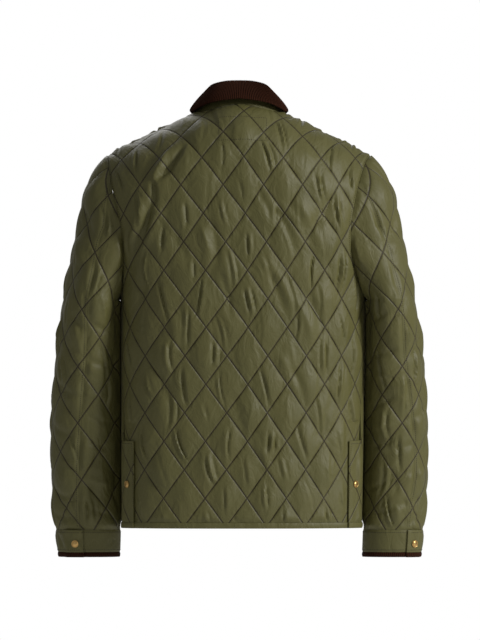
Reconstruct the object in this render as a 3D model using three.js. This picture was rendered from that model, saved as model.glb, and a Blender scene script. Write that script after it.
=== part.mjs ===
// A quilted jacket, filled out and hollow, seen from the back in its reference picture.
// Millimetres. +Z is up, the front faces -Y, and +X is the wearer's left.
// The origin is the middle of the neck, at the height where the shoulders meet the collar.
import * as THREE from 'three';

// Cloth and seams
const WALL = 2;
const CORD_WALL = 2.4;
const SEAM_GAP = 0.3;
const ARMHOLE_GAP = 0.9;
const UNDERARM_EASE = 2;
const COLLAR_SEAT = 1.3;
const STAND_CLEARANCE = 0.8;
const NEAR_EDGE = 5;

// Quilting: a diamond's width and height, how far it puffs out, and where its stitch lines cross
const DIAMOND_WIDTH = 72;
const DIAMOND_HEIGHT = 97;
const PUFF = 3.2;
const BODY_CROSSING = { across: 27.5, up: -311 };
const SLEEVE_CROSSING = { across: 13, up: -426 };
const RIGHT_BACK_EASE = 1.07;

// Body: rings from the hem to the neck. Above the armhole a ring is wider than what is left of it.
const BODY_RINGS = [
  { z: -702, halfWidth: 205, back: 112, front: 126, centreX: -5 },
  { z: -550, halfWidth: 207, back: 116, front: 130, centreX: -6 },
  { z: -400, halfWidth: 209, back: 121, front: 136, centreX: -7 },
  { z: -300, halfWidth: 211, back: 125, front: 139, centreX: -7 },
  { z: -200, halfWidth: 228, back: 127, front: 134, centreX: -4 },
  { z: -120, halfWidth: 238, back: 126, front: 124, centreX: 0 },
  { z: -40, halfWidth: 242, back: 125, front: 112, centreX: 0 },
  { z: 60, halfWidth: 242, back: 125, front: 104, centreX: 0 },
];
const REFERENCE_RING = { halfWidth: 211, back: 125, front: 139 };
const CORNER = { backLeft: 2.8, backRight: 2.2, front: 2.5 };
const SHOULDER_ROUNDING = 110;
const HEM_Z = -692;
const HEM_BINDING = { bottom: -702, rise: 0.8 };
const BACK_LAST_ROW = 28.5;
const FRONT_LAST_ROW = -44.25;

// Armhole: an upright oval seen from the side. The side seam meets its lowest point.
const ARMHOLE = { top: -67, bottom: -311, halfDepth: 75, centreY: 5, settling: 80 };
const VENT = {
  seam: 227, top: -553.5, flap: 34, lift: 3.8, fade: 60, turn: [-30, -2], snapInset: 17, snapUp: -627,
};

// Neck hole and collar, by the angle from the centre back round to the centre front
const NECK = { halfWidth: 75, back: 58, front: 98 };
const COLLAR_END = 174;
const FOLD = { halfWidth: 56, back: 43, front: 84 };
const COLLAR = [
  { angle: 0, fold: 61.6, edge: 31.5 },
  { angle: 21, fold: 61, edge: 28 },
  { angle: 38, fold: 58.5, edge: 23.5 },
  { angle: 54, fold: 55, edge: 16.6 },
  { angle: 72, fold: 48, edge: 9.5 },
  { angle: 90, fold: 41, edge: 7 },
  { angle: 120, fold: 31, edge: -3 },
  { angle: 150, fold: 18, edge: -19 },
  { angle: 174, fold: 10, edge: -28 },
];
const LEAF_EDGE = { halfWidth: 85, back: 76, front: 113, rest: 8 };
const STAND_DEPTH = 40;
const LEAF_DEPTH = 44;
const LEAF_BULGE = 2.5;
const COLLAR_COLUMNS = 16;
const NECK_BACK_ANGLES = [0, 15, 30, 45, 60, 75, 90];
const NECK_FRONT_ANGLES = [180, 167, 157, 144, 126, 108, 92];

// Front opening: the wearer's left front laps over the right
const OVERLAP = { left: 19, right: 15, lift: 3.2, ramp: 14 };
const FRONT_SNAPS = { count: 6, top: -95, bottom: -600 };
const SNAP = { radius: 6.3, height: 2.6, sides: 10 };

// Sleeves: rings from the armhole's lowest point to the wrist
const SLEEVE_RINGS = {
  left: [
    { z: -311, outer: 298, inner: 208, halfDepth: 77, centreY: 5 },
    { z: -350, outer: 304, inner: 205.5, halfDepth: 77, centreY: -4 },
    { z: -400, outer: 310.5, inner: 204, halfDepth: 74, centreY: -14 },
    { z: -500, outer: 319, inner: 203, halfDepth: 68, centreY: -26 },
    { z: -600, outer: 320.5, inner: 203, halfDepth: 60, centreY: -34 },
    { z: -700, outer: 313.5, inner: 203.5, halfDepth: 50, centreY: -38 },
    { z: -760, outer: 308, inner: 205, halfDepth: 45, centreY: -39 },
  ],
  right: [
    { z: -311, outer: 298.5, inner: 222, halfDepth: 77, centreY: 5 },
    { z: -350, outer: 305.5, inner: 220, halfDepth: 77, centreY: -4 },
    { z: -400, outer: 312, inner: 218.5, halfDepth: 74, centreY: -14 },
    { z: -500, outer: 320, inner: 216, halfDepth: 68, centreY: -26 },
    { z: -600, outer: 321, inner: 215, halfDepth: 60, centreY: -34 },
    { z: -700, outer: 315, inner: 213.5, halfDepth: 50, centreY: -38 },
    { z: -760, outer: 311, inner: 211.5, halfDepth: 45, centreY: -39 },
  ],
};
const SLEEVE_CAP = { slope: 0.195, lineAt: 265.5, lineZ: -142, shortfall: 27, rounding: 75, rows: [-80, -72] };
// Where the sleeve's back seam shows, as a share of the way from the middle of the back to the outer edge
const SLEEVE_SEAM = {
  left: [
    { z: -110, lean: 0 }, { z: -150, lean: 0.25 }, { z: -208, lean: 0.35 }, { z: -283, lean: 0.18 }, { z: -386, lean: 0.05 },
    { z: -487, lean: 0.1 }, { z: -600, lean: 0.19 }, { z: -700, lean: 0.25 }, { z: -760, lean: 0.15 },
  ],
  right: [
    { z: -110, lean: 0 }, { z: -150, lean: 0.4 }, { z: -207, lean: 0.58 }, { z: -273, lean: 0.5 }, { z: -393, lean: 0.33 },
    { z: -487, lean: 0.47 }, { z: -600, lean: 0.6 }, { z: -663, lean: 0.5 }, { z: -760, lean: 0.38 },
  ],
};
const FRONT_SEAM_ANGLE = 112;
const BACK_HORN_TIP = -112;
const CUFF = {
  top: -706, bottom: -744, bindingBottom: -752.5, lap: 24, lift: 3.4, rise: 0.4, snapInset: 13,
  edgeLean: { left: 0.137, right: 0.44 },
};

const FINISH = {
  nylon: new THREE.MeshStandardMaterial({ color: 0x55533a, roughness: 0.45, metalness: 0 }),
  corduroy: new THREE.MeshStandardMaterial({ color: 0x2c170c, roughness: 0.95, metalness: 0 }),
  brass: new THREE.MeshStandardMaterial({ color: 0xa8854a, roughness: 0.35, metalness: 1 }),
};

const HALF_TURN = Math.PI;
const QUARTER_TURN = Math.PI / 2;
const WALK_STEPS = 240;
const SLEEVE_STEPS = 120;
const HALVINGS = 40;
const SEAM_FLAT = 16;
const PRESSED = { body: [1, 12], sleeve: [1, 14] };
const PUFF_POWER = 0.75;
const SHOULDER_LINE = { top: 44, slope: 0.47, rounding: 20, droop: 0.0001 };
const INSIDE_ARMHOLE = 90;
const SIDE_SEARCH = [150, 350];
const FRONT_SEARCH = { before: 40, end: 450 };
const FREE_BEHIND = 72;
const SLEEVE_POWER = 0.93;
const COLUMN = DIAMOND_WIDTH / 4;
const ROW = DIAMOND_HEIGHT / 4;

const radians = THREE.MathUtils.degToRad;
const smooth = THREE.MathUtils.smoothstep;

// Reads one column of a table at a height, with a smooth curve through its rows.
function read(table, key, at, by = 'z') {
  const rising = table[0][by] < table[1][by] ? table : [...table].reverse();
  let i = rising.findIndex((row) => row[by] >= at);
  if (i === -1) return rising[rising.length - 1][key];
  if (i === 0) return rising[0][key];
  const rowAt = (k) => rising[Math.min(Math.max(k, 0), rising.length - 1)];
  const [before, from, to, after] = [rowAt(i - 2), rowAt(i - 1), rowAt(i), rowAt(i + 1)];
  const span = to[by] - from[by];
  const t = (at - from[by]) / span;
  const slope = (low, high) => (high[by] === low[by] ? 0 : ((high[key] - low[key]) / (high[by] - low[by])) * span);
  const startSlope = slope(before, to);
  const endSlope = slope(from, after);
  const bend = 2 * t ** 3 - 3 * t ** 2;
  return from[key] * (1 + bend) - to[key] * bend
    + startSlope * (t ** 3 - 2 * t ** 2 + t) + endSlope * (t ** 3 - t ** 2);
}

// Finds where a yes/no test turns from true to false.
function turningPoint(from, to, holds) {
  let good = from;
  let bad = to;
  for (let step = 0; step < HALVINGS; step += 1) {
    const middle = (good + bad) / 2;
    if (holds(middle)) good = middle;
    else bad = middle;
  }
  return good;
}

// The walk round half of the reference ring: how far along the cloth each place is from the centre back.
function ringWalk(backCorner) {
  const places = [{ along: 0, across: 0, deep: 1 }];
  let [x, y, along] = [0, REFERENCE_RING.back, 0];
  for (let step = 1; step <= WALK_STEPS; step += 1) {
    const turn = (step / WALK_STEPS) * HALF_TURN;
    const isBack = turn <= QUARTER_TURN;
    const power = 2 / (isBack ? backCorner : CORNER.front);
    const across = Math.abs(Math.sin(turn)) ** power;
    const deep = Math.abs(Math.cos(turn)) ** power * (isBack ? 1 : -1);
    const nextX = across * REFERENCE_RING.halfWidth;
    const nextY = deep * (isBack ? REFERENCE_RING.back : REFERENCE_RING.front);
    along += Math.hypot(nextX - x, nextY - y);
    [x, y] = [nextX, nextY];
    places.push({ along, across, deep });
  }
  return places;
}
const WALKS = { left: ringWalk(CORNER.backLeft), right: ringWalk(CORNER.backRight) };

function placeOnWalk(walk, along) {
  let low = 0;
  let high = walk.length - 1;
  while (high - low > 1) {
    const middle = (low + high) >> 1;
    if (walk[middle].along > along) high = middle;
    else low = middle;
  }
  const share = (along - walk[low].along) / (walk[high].along - walk[low].along);
  return {
    across: THREE.MathUtils.lerp(walk[low].across, walk[high].across, share),
    deep: THREE.MathUtils.lerp(walk[low].deep, walk[high].deep, share),
  };
}

const halfGirth = (side, z) => {
  const walk = WALKS[side];
  return (walk[walk.length - 1].along * read(BODY_RINGS, 'halfWidth', z)) / REFERENCE_RING.halfWidth;
};

const shoulderHeight = (x) => SHOULDER_LINE.top - SHOULDER_LINE.slope * Math.hypot(x, SHOULDER_LINE.rounding)
  - SHOULDER_LINE.droop * x * x;

// Where the cloth stands at a distance round from the centre back (left is positive) and a ring's height,
// before the shoulder rounds it over.
function bodyColumn(along, z) {
  let side = along >= 0 ? 'left' : 'right';
  let distance = Math.abs(along);
  const whole = halfGirth(side, z);
  if (distance > whole) {
    side = side === 'left' ? 'right' : 'left';
    distance = halfGirth(side, z) - (distance - whole);
  }
  const halfWidth = read(BODY_RINGS, 'halfWidth', z);
  const place = placeOnWalk(WALKS[side], (distance * REFERENCE_RING.halfWidth) / halfWidth);
  const depth = read(BODY_RINGS, place.deep > 0 ? 'back' : 'front', z);
  const x = read(BODY_RINGS, 'centreX', z) + (side === 'left' ? 1 : -1) * halfWidth * place.across;
  const roundingStart = shoulderHeight(x) - SHOULDER_ROUNDING;
  const roundingLength = QUARTER_TURN * Math.hypot(SHOULDER_ROUNDING, depth * place.deep) / Math.SQRT2;
  return { x, y: depth * place.deep, roundingStart, roundingLength, pressed: halfWidth * (1 - place.across) };
}

// A place on the body's outer surface: a column of cloth, and a distance up it.
function standAt(columnAt, up) {
  let z = up;
  let column = columnAt(z);
  let share = 0;
  for (let round = 0; round < 5; round += 1) {
    share = THREE.MathUtils.clamp((up - column.roundingStart) / column.roundingLength, 0, 1);
    z = share > 0 ? column.roundingStart + SHOULDER_ROUNDING * Math.sin(share * QUARTER_TURN) : up;
    column = columnAt(z);
  }
  return new THREE.Vector3(column.x, column.y * Math.cos(share * QUARTER_TURN), z);
}

// How far up a column the shoulder seam lies.
function ridgeUp(columnAt) {
  let column = columnAt(0);
  for (let round = 0; round < 6; round += 1) column = columnAt(column.roundingStart + SHOULDER_ROUNDING);
  return column.roundingStart + column.roundingLength;
}

// The back is measured from its middle and each front from the centre front, so that the quilting runs true.
const BACK = {
  columnAt: (along) => (z) => bodyColumn(along, z),
};
const FRONTS = {
  left: {
    columnAt: (along) => (z) => bodyColumn(halfGirth('left', z) + along, z),
    alongAt: (distance, z) => distance - halfGirth('left', z),
  },
  right: {
    columnAt: (along) => (z) => bodyColumn(along - halfGirth('right', z), z),
    alongAt: (distance, z) => distance + halfGirth('right', z),
  },
};
const surfaceOf = (piece) => (along, up) => standAt(piece.columnAt(along), up);
const ridgeOf = (piece, along) => ridgeUp(piece.columnAt(along));

const armholeMiddle = (ARMHOLE.top + ARMHOLE.bottom) / 2;
const armholeHalfHeight = (ARMHOLE.top - ARMHOLE.bottom) / 2;
const armholeHalfDepth = (z) => {
  const reach = (z - armholeMiddle) / armholeHalfHeight;
  return ARMHOLE.halfDepth * Math.sqrt(Math.max(0, 1 - reach * reach));
};
const armholeCentreY = (z) => ARMHOLE.centreY * smooth(ARMHOLE.top - z, 0, ARMHOLE.settling);

function isInArmhole(point) {
  if (point.z > ARMHOLE.top || point.z < ARMHOLE.bottom) return false;
  return Math.abs(point.y - armholeCentreY(point.z)) < armholeHalfDepth(point.z);
}

// A place on the body at a true height, used where the armhole is cut.
function bodyAtHeight(along, z) {
  const column = bodyColumn(along, z);
  const climbed = Math.min(Math.max(z - column.roundingStart, 0) / SHOULDER_ROUNDING, 1);
  return new THREE.Vector3(column.x, column.y * Math.sqrt(1 - climbed * climbed), z);
}

// How far round the body reaches, from the centre back, where it stands at a depth.
const distanceAtDepth = (sign, z, depth, from, to) => turningPoint(
  from, to, (distance) => bodyAtHeight(sign * distance, z).y > depth);

const SIDE_SEAM_TOP = {
  left: distanceAtDepth(1, ARMHOLE.bottom, ARMHOLE.centreY, ...SIDE_SEARCH),
  right: distanceAtDepth(-1, ARMHOLE.bottom, ARMHOLE.centreY, ...SIDE_SEARCH),
};
const sideSeam = (side, up) => THREE.MathUtils.lerp(
  VENT.seam, SIDE_SEAM_TOP[side], smooth(up, VENT.top, ARMHOLE.bottom));
const SIDES = ['left', 'right'];
const signOf = (side) => (side === 'left' ? 1 : -1);

// The edge of a back or front at the armhole, or on the shoulder seam above it.
function armholeEdge(piece, up, start, end) {
  const surface = surfaceOf(piece);
  return turningPoint(start, end, (along) => !isInArmhole(surface(along, up)) && up < ridgeOf(piece, along));
}

// Normals by small steps along and up a surface.
function outward(surface, along, up) {
  const step = 0.5;
  const east = surface(along + step, up).sub(surface(along - step, up));
  const north = surface(along, up + step).sub(surface(along, up - step));
  return north.cross(east).normalize();
}

// Height of the quilting at a place: none on the stitch lines, most in the middle of a diamond.
function quilting(across, up, crossing) {
  const a = (across - crossing.across) / (DIAMOND_WIDTH / 2);
  const b = (up - crossing.up) / (DIAMOND_HEIGHT / 2);
  const ridge = Math.abs(Math.sin((a + b) * QUARTER_TURN) * Math.sin((a - b) * QUARTER_TURN));
  return PUFF * ridge ** PUFF_POWER;
}

// A piece of cloth as rows of places. Places in quilting columns carry the column's number,
// and the triangles between two rows follow the stitch lines.
class Cloth {
  constructor(surface, shape) {
    this.surface = surface;
    this.shape = shape;
    this.places = [];
    this.triangles = [];
  }

  add(along, up, column = null) {
    this.places.push({ along, up, column });
    return this.places.length - 1;
  }

  row(up, left, right, row = null, extras = []) {
    const { toCloth, fromCloth, crossing } = this.shape;
    const first = Math.ceil((toCloth(left + NEAR_EDGE) - crossing.across) / COLUMN);
    const last = Math.floor((toCloth(right - NEAR_EDGE) - crossing.across) / COLUMN);
    const stops = [{ along: left }];
    for (let column = first; column <= last; column += 1) {
      const along = fromCloth(crossing.across + column * COLUMN);
      const isFree = extras.every((extra) => Math.abs(extra - along) > NEAR_EDGE);
      if (along > left + NEAR_EDGE && along < right - NEAR_EDGE && isFree) stops.push({ along, column });
    }
    extras.forEach((along) => stops.push({ along }));
    if (right > left) stops.push({ along: right });
    stops.sort((one, other) => one.along - other.along);
    return { row, line: stops.map((stop) => this.add(stop.along, up, stop.column ?? null)) };
  }

  join(lower, upper) {
    const [low, high] = [lower.line, upper.line];
    let [a, b] = [0, 0];
    const triangle = (...corners) => {
      if (new Set(corners).size === 3) this.triangles.push(corners);
    };
    while (a < low.length - 1 || b < high.length - 1) {
      const here = [this.places[low[a]], this.places[high[b]]];
      const next = [this.places[low[a + 1]], this.places[high[b + 1]]];
      const isCell = next[0] && next[1] && here[0].column !== null && here[0].column === here[1].column
        && next[0].column !== null && next[0].column === next[1].column && lower.row !== null;
      if (isCell) {
        if ((here[0].column - lower.row) % 2 === 0) {
          triangle(low[a], low[a + 1], high[b + 1]);
          triangle(low[a], high[b + 1], high[b]);
        } else {
          triangle(low[a], low[a + 1], high[b]);
          triangle(low[a + 1], high[b + 1], high[b]);
        }
        a += 1;
        b += 1;
      } else if (!next[1] || (next[0] && next[0].along <= next[1].along)) {
        triangle(low[a], low[a + 1], high[b]);
        a += 1;
      } else {
        triangle(low[a], high[b + 1], high[b]);
        b += 1;
      }
    }
  }

  joinAll(rows) {
    rows.slice(1).forEach((row, i) => this.join(rows[i], row));
  }

  // Gives the sheet its thickness: raised outside, plain inside, with closed edges.
  solid(wall = WALL) {
    const outer = [];
    const inner = [];
    this.places.forEach((place) => {
      const point = this.surface(place.along, place.up);
      const normal = outward(this.surface, place.along, place.up);
      const rise = this.shape.rise(place, point);
      const lift = this.shape.lift ? this.shape.lift(place) : 0;
      outer.push(point.clone().addScaledVector(normal, rise + lift));
      inner.push(point.clone().addScaledVector(normal, lift - wall));
    });
    return closedWall(outer, inner, this.triangles);
  }
}

function closedWall(outer, inner, triangles) {
  const merged = new Map();
  const order = outer.map((point, i) => {
    const key = [point.x, point.y, point.z].map((value) => value.toFixed(2)).join();
    if (!merged.has(key)) merged.set(key, i);
    return merged.get(key);
  });
  const faces = [];
  const edges = new Map();
  triangles.forEach((corners) => {
    const [a, b, c] = corners.map((corner) => order[corner]);
    if (a === b || b === c || c === a) return;
    faces.push([outer[a], outer[c], outer[b]], [inner[a], inner[b], inner[c]]);
    [[a, b], [b, c], [c, a]].forEach(([from, to]) => {
      const back = `${to},${from}`;
      if (edges.has(back)) edges.delete(back);
      else edges.set(`${from},${to}`, [from, to]);
    });
  });
  edges.forEach(([from, to]) => {
    faces.push([outer[from], outer[to], inner[to]], [outer[from], inner[to], inner[from]]);
  });
  const geometry = new THREE.BufferGeometry().setFromPoints(faces.flat());
  geometry.computeVertexNormals();
  return geometry;
}

const toBodyCloth = (along) => (along > 0 ? along : along * RIGHT_BACK_EASE);
const fromBodyCloth = (across) => (across > 0 ? across : across / RIGHT_BACK_EASE);

// Quilting flattens at a piece's edges, where a seam holds it, and where body and sleeve press together.
function bodyRise(piece, toCloth, edgeDistance) {
  return (place) => {
    const column = piece.columnAt(place.along)(place.up);
    const free = smooth(edgeDistance(place), 0, SEAM_FLAT) * smooth(column.pressed, ...PRESSED.body);
    return quilting(toCloth(place.along), place.up, BODY_CROSSING) * free;
  };
}

// The shoulder point: where a piece's shoulder seam runs into the armhole
function shoulderPoint(piece, start, end) {
  const zAt = (along) => surfaceOf(piece)(along, ridgeOf(piece, along)).z;
  const along = turningPoint(start, end, (distance) => zAt(distance) > ARMHOLE.top);
  return { along, up: ridgeOf(piece, along) };
}

function rowsBetween(from, to, crossing) {
  const rows = [{ up: from, row: null }];
  const first = Math.ceil((from + NEAR_EDGE - crossing.up) / ROW);
  const last = Math.floor((to - NEAR_EDGE - crossing.up) / ROW);
  for (let row = first; row <= last; row += 1) rows.push({ up: crossing.up + row * ROW, row });
  rows.push({ up: to, row: null });
  return rows;
}

const HALF_GAP = SEAM_GAP / 2;

// Rows of a body piece up to its last whole one, closer together at the armhole's ends
function bodyRows(lastRow, shoulderUps = []) {
  const extras = [ARMHOLE.bottom + 4, ARMHOLE.bottom + 11, ...shoulderUps.flatMap((up) => [up - 9, up])];
  const isClear = ({ up }) => up <= ARMHOLE.bottom || up === lastRow
    || extras.every((extra) => Math.abs(extra - up) > 3);
  const rows = rowsBetween(HEM_Z, lastRow, BODY_CROSSING).filter(isClear);
  extras.forEach((up) => rows.push({ up, row: null }));
  return rows.sort((one, other) => one.up - other.up);
}

// Places on the neck seam, by the angle from the centre back; those past a quarter turn lie on a front.
function neckPlace(piece, angle, start, end) {
  const x = NECK.halfWidth * Math.sin(angle);
  const y = Math.cos(angle) * (angle <= QUARTER_TURN ? NECK.back : NECK.front);
  const along = turningPoint(start, end, (distance) => Math.abs(piece.columnAt(distance)(0).x) < x);
  const column = piece.columnAt(along)(0);
  const share = Math.acos(Math.min(Math.abs(y / column.y), 1)) / QUARTER_TURN;
  return { along, up: column.roundingStart + share * column.roundingLength };
}

// Rows that climb from the last whole row to a shaped top edge
function climb(cloth, base, top, count, sharesEnds) {
  const rows = [base];
  const from = cloth.places[base.line[0]].up;
  for (let step = 1; step <= count; step += 1) {
    const line = top.map(({ along, up }) => cloth.add(along, THREE.MathUtils.lerp(from, up, step / count)));
    const ends = sharesEnds ? [base.line[0], base.line[base.line.length - 1]] : null;
    rows.push({ row: null, line: ends ? [ends[0], ...line, ends[1]] : line });
  }
  cloth.joinAll(rows);
}

const jacket = new THREE.Group();
const add = (name, geometry, material) => {
  const mesh = new THREE.Mesh(geometry, material);
  mesh.name = name;
  jacket.add(mesh);
};

// The back, from side seam to side seam, up to the shoulder seams and the neck
const backEdge = (side, up) => {
  const sign = signOf(side);
  if (up <= ARMHOLE.bottom) return sign * (sideSeam(side, up) - HALF_GAP);
  return armholeEdge(BACK, up, sign * INSIDE_ARMHOLE, sign * SIDE_SEAM_TOP[side]) - sign * HALF_GAP;
};

function backPanel() {
  const edgeDistance = (place) => {
    const side = place.along < 0 ? 'right' : 'left';
    const reach = Math.abs(backEdge(side, Math.min(place.up, BACK_LAST_ROW)));
    const hidden = place.up < VENT.top + VENT.flap ? VENT.flap + NEAR_EDGE : 0;
    const toRidge = ridgeOf(BACK, place.along) - place.up;
    return Math.min(reach - hidden - Math.abs(place.along), place.up - HEM_Z, toRidge);
  };
  const cloth = new Cloth(surfaceOf(BACK), {
    toCloth: toBodyCloth,
    fromCloth: fromBodyCloth,
    crossing: BODY_CROSSING,
    rise: bodyRise(BACK, toBodyCloth, edgeDistance),
  });
  const shoulderUps = SIDES.map((side) => shoulderPoint(BACK, signOf(side) * 120, signOf(side) * 260).up);
  const rows = bodyRows(BACK_LAST_ROW, shoulderUps).map(
    ({ up, row }) => cloth.row(up, backEdge('right', up), backEdge('left', up), row));
  cloth.joinAll(rows);
  const half = (side) => {
    const neck = NECK_BACK_ANGLES.map((angle) => neckPlace(BACK, radians(angle), 0, signOf(side) * 200));
    const outerEnd = backEdge(side, BACK_LAST_ROW);
    const neckEnd = neck[neck.length - 1].along;
    const shoulder = [0.25, 0.5, 0.75].map((share) => {
      const along = THREE.MathUtils.lerp(neckEnd, outerEnd, share);
      return { along, up: ridgeOf(BACK, along) - HALF_GAP };
    });
    return [...neck, ...shoulder];
  };
  const top = [...half('right').slice(1).reverse(), ...half('left')];
  climb(cloth, rows[rows.length - 1], top, 2, true);
  return cloth.solid();
}

// How a front runs: its two edges at a height, and where it lifts to lap over the back or the other front
function frontLayout(side) {
  const sign = signOf(side);
  const piece = FRONTS[side];
  const seamAt = (up) => piece.alongAt(sign * sideSeam(side, Math.min(up, ARMHOLE.bottom)), up);
  const sideEdge = (up) => {
    if (up > ARMHOLE.bottom) {
      return armholeEdge(piece, up, sign * -INSIDE_ARMHOLE, piece.alongAt(sign * SIDE_SEAM_TOP[side], up)) + sign * HALF_GAP;
    }
    return seamAt(up) + sign * (up <= VENT.top ? -VENT.flap : HALF_GAP);
  };
  const lift = ({ along, up }) => {
    const atVent = smooth(VENT.top + VENT.fade - up, 0, VENT.fade - 4) * smooth((seamAt(up) - along) * sign, ...VENT.turn);
    const atOpening = side === 'left' ? smooth(along, -OVERLAP.right - OVERLAP.ramp, -OVERLAP.right - 2) : 0;
    return VENT.lift * atVent + OVERLAP.lift * atOpening;
  };
  const extras = (up) => {
    const fold = side === 'left' ? [-OVERLAP.right - OVERLAP.ramp, -OVERLAP.right - 2] : [];
    return up <= VENT.top ? [...fold, seamAt(up) + sign * 2] : fold;
  };
  const ends = (up) => [sideEdge(up), sign * OVERLAP[side]].sort((one, other) => one - other);
  return { sign, piece, sideEdge, lift, extras, ends };
}

const plain = (value) => value;

// A front, from its side seam to past the centre front, with the flap that laps over the back at the vent
function frontPanel(side) {
  const { sign, piece, sideEdge, lift, extras, ends } = frontLayout(side);
  const edgeDistance = (place) => {
    const up = Math.min(place.up, FRONT_LAST_ROW);
    const fromSide = Math.abs(place.along - sideEdge(up)) - (up <= VENT.top ? VENT.flap / 2 : 0);
    const fromOpening = Math.abs(place.along - sign * OVERLAP[side]) - 2 * OVERLAP.left;
    return Math.min(fromSide, fromOpening, place.up - HEM_Z, ridgeOf(piece, place.along) - place.up);
  };
  const cloth = new Cloth(surfaceOf(piece), {
    toCloth: plain,
    fromCloth: plain,
    crossing: { across: 0, up: BODY_CROSSING.up },
    rise: bodyRise(piece, plain, edgeDistance),
    lift,
  });
  const rows = bodyRows(FRONT_LAST_ROW).filter(({ up }) => Math.abs(up - VENT.top) > 3);
  rows.push({ up: VENT.top + 1.5, row: null }, { up: VENT.top, row: null });
  rows.sort((one, other) => one.up - other.up);
  const made = rows.map(({ up, row }) => cloth.row(up, ...ends(up), row, extras(up)));
  cloth.joinAll(made);
  const neck = NECK_FRONT_ANGLES.map((angle) => neckPlace(piece, radians(angle), 0, sign * -200));
  const neckEnd = neck[neck.length - 1].along;
  const outerEnd = shoulderPoint(piece, sign * -120, sign * -260).along;
  const shoulder = [0.03, 0.25, 0.5, 0.75, 1].map((share) => {
    const along = THREE.MathUtils.lerp(neckEnd, outerEnd, share);
    return { along, up: ridgeOf(piece, along) - HALF_GAP };
  });
  const top = [{ along: sign * OVERLAP[side], up: neck[0].up }, ...neck, ...shoulder];
  if (side === 'left') top.reverse();
  climb(cloth, made[made.length - 1], top, 5, false);
  return cloth.solid();
}

// The binding round the hem: a thicker edge just below each piece
function hemBinding(surface, ends, lift = () => 0, extras = []) {
  const cloth = new Cloth(surface, {
    toCloth: plain, fromCloth: plain, crossing: { across: 0, up: 0 }, rise: () => HEM_BINDING.rise, lift,
  });
  const rows = [HEM_BINDING.bottom, HEM_Z - SEAM_GAP].map((up) => cloth.row(up, ...ends, 0, extras));
  cloth.joinAll(rows);
  return cloth.solid();
}

// The sleeve's ring at a height: an oval, of which the armhole cuts away the inner part
const sleeveRings = new Map();
function sleeveRing(side, z) {
  const key = `${side} ${z.toFixed(3)}`;
  if (!sleeveRings.has(key)) sleeveRings.set(key, makeSleeveRing(side, z));
  return sleeveRings.get(key);
}

function armholeX(side, z, isBack) {
  const sign = signOf(side);
  const depth = armholeCentreY(z) + (isBack ? 1 : -1) * armholeHalfDepth(z);
  const [from, to] = isBack
    ? [INSIDE_ARMHOLE, SIDE_SEAM_TOP[side] + 1]
    : [SIDE_SEAM_TOP[side] - FRONT_SEARCH.before, FRONT_SEARCH.end];
  const ease = ARMHOLE_GAP + UNDERARM_EASE * smooth(ARMHOLE.bottom + 25 - z, 0, 25);
  return Math.abs(bodyAtHeight(sign * distanceAtDepth(sign, z, depth, from, to), z).x) + ease;
}

function makeSleeveRing(side, z) {
  const table = SLEEVE_RINGS[side];
  const isCap = z > ARMHOLE.bottom;
  const bottomInner = armholeX(side, ARMHOLE.bottom, true);
  let outer = read(table, 'outer', z);
  let halfDepth = read(table, 'halfDepth', z);
  const centreY = isCap ? armholeCentreY(z) : read(table, 'centreY', z);
  const faces = {};
  if (isCap) {
    const short = SLEEVE_CAP.shortfall * Math.max(0, 1 - (ARMHOLE.top - z) / SLEEVE_CAP.rounding) ** 2;
    outer = SLEEVE_CAP.lineAt + SLEEVE_CAP.slope * (SLEEVE_CAP.lineZ - z) - short;
    const cut = armholeHalfDepth(z);
    halfDepth = z > armholeMiddle ? cut : Math.max(cut, THREE.MathUtils.mapLinear(
      z, armholeMiddle, ARMHOLE.bottom, ARMHOLE.halfDepth, table[0].halfDepth));
    const sine = Math.min(cut / Math.max(halfDepth, 1e-6), 1) ** (1 / SLEEVE_POWER);
    const end = z > armholeMiddle ? QUARTER_TURN : HALF_TURN - Math.asin(sine);
    [true, false].forEach((isBack) => {
      const cosine = -(Math.abs(Math.cos(end)) ** SLEEVE_POWER);
      const x = armholeX(side, z, isBack);
      faces[isBack ? 'back' : 'front'] = { end, centre: (x - outer * cosine) / (1 - cosine) };
    });
  } else {
    const settle = smooth(ARMHOLE.bottom - z, 0, table[0].z - table[1].z);
    const inner = THREE.MathUtils.lerp(bottomInner, read(table, 'inner', z), settle);
    faces.back = { end: HALF_TURN, centre: (outer + inner) / 2 };
    faces.front = faces.back;
  }
  const ring = { z, outer, halfDepth, centreY, faces };
  ['back', 'front'].forEach((face) => { faces[face] = { ...faces[face], walk: sleeveWalk(ring, face) }; });
  return ring;
}

const signedPower = (value) => Math.sign(value) * Math.abs(value) ** SLEEVE_POWER;

function ringPlace(ring, face, angle) {
  const { centre } = ring.faces[face];
  return {
    x: centre + (ring.outer - centre) * signedPower(Math.cos(angle)),
    y: ring.centreY + (face === 'back' ? 1 : -1) * ring.halfDepth * signedPower(Math.sin(angle)),
  };
}

function sleeveWalk(ring, face) {
  const walk = [{ along: 0, angle: 0 }];
  let last = ringPlace(ring, face, 0);
  for (let step = 1; step <= SLEEVE_STEPS; step += 1) {
    const angle = (step / SLEEVE_STEPS) * HALF_TURN;
    const next = ringPlace(ring, face, angle);
    walk.push({ along: walk[step - 1].along + Math.hypot(next.x - last.x, next.y - last.y), angle });
    last = next;
  }
  return walk;
}

const walkEnd = (walk) => walk[walk.length - 1].along;
const walkTo = (walk, angle) => {
  const step = Math.min(Math.floor((angle / HALF_TURN) * SLEEVE_STEPS), SLEEVE_STEPS - 1);
  const share = (angle - walk[step].angle) / (walk[step + 1].angle - walk[step].angle);
  return THREE.MathUtils.lerp(walk[step].along, walk[step + 1].along, share);
};

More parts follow.
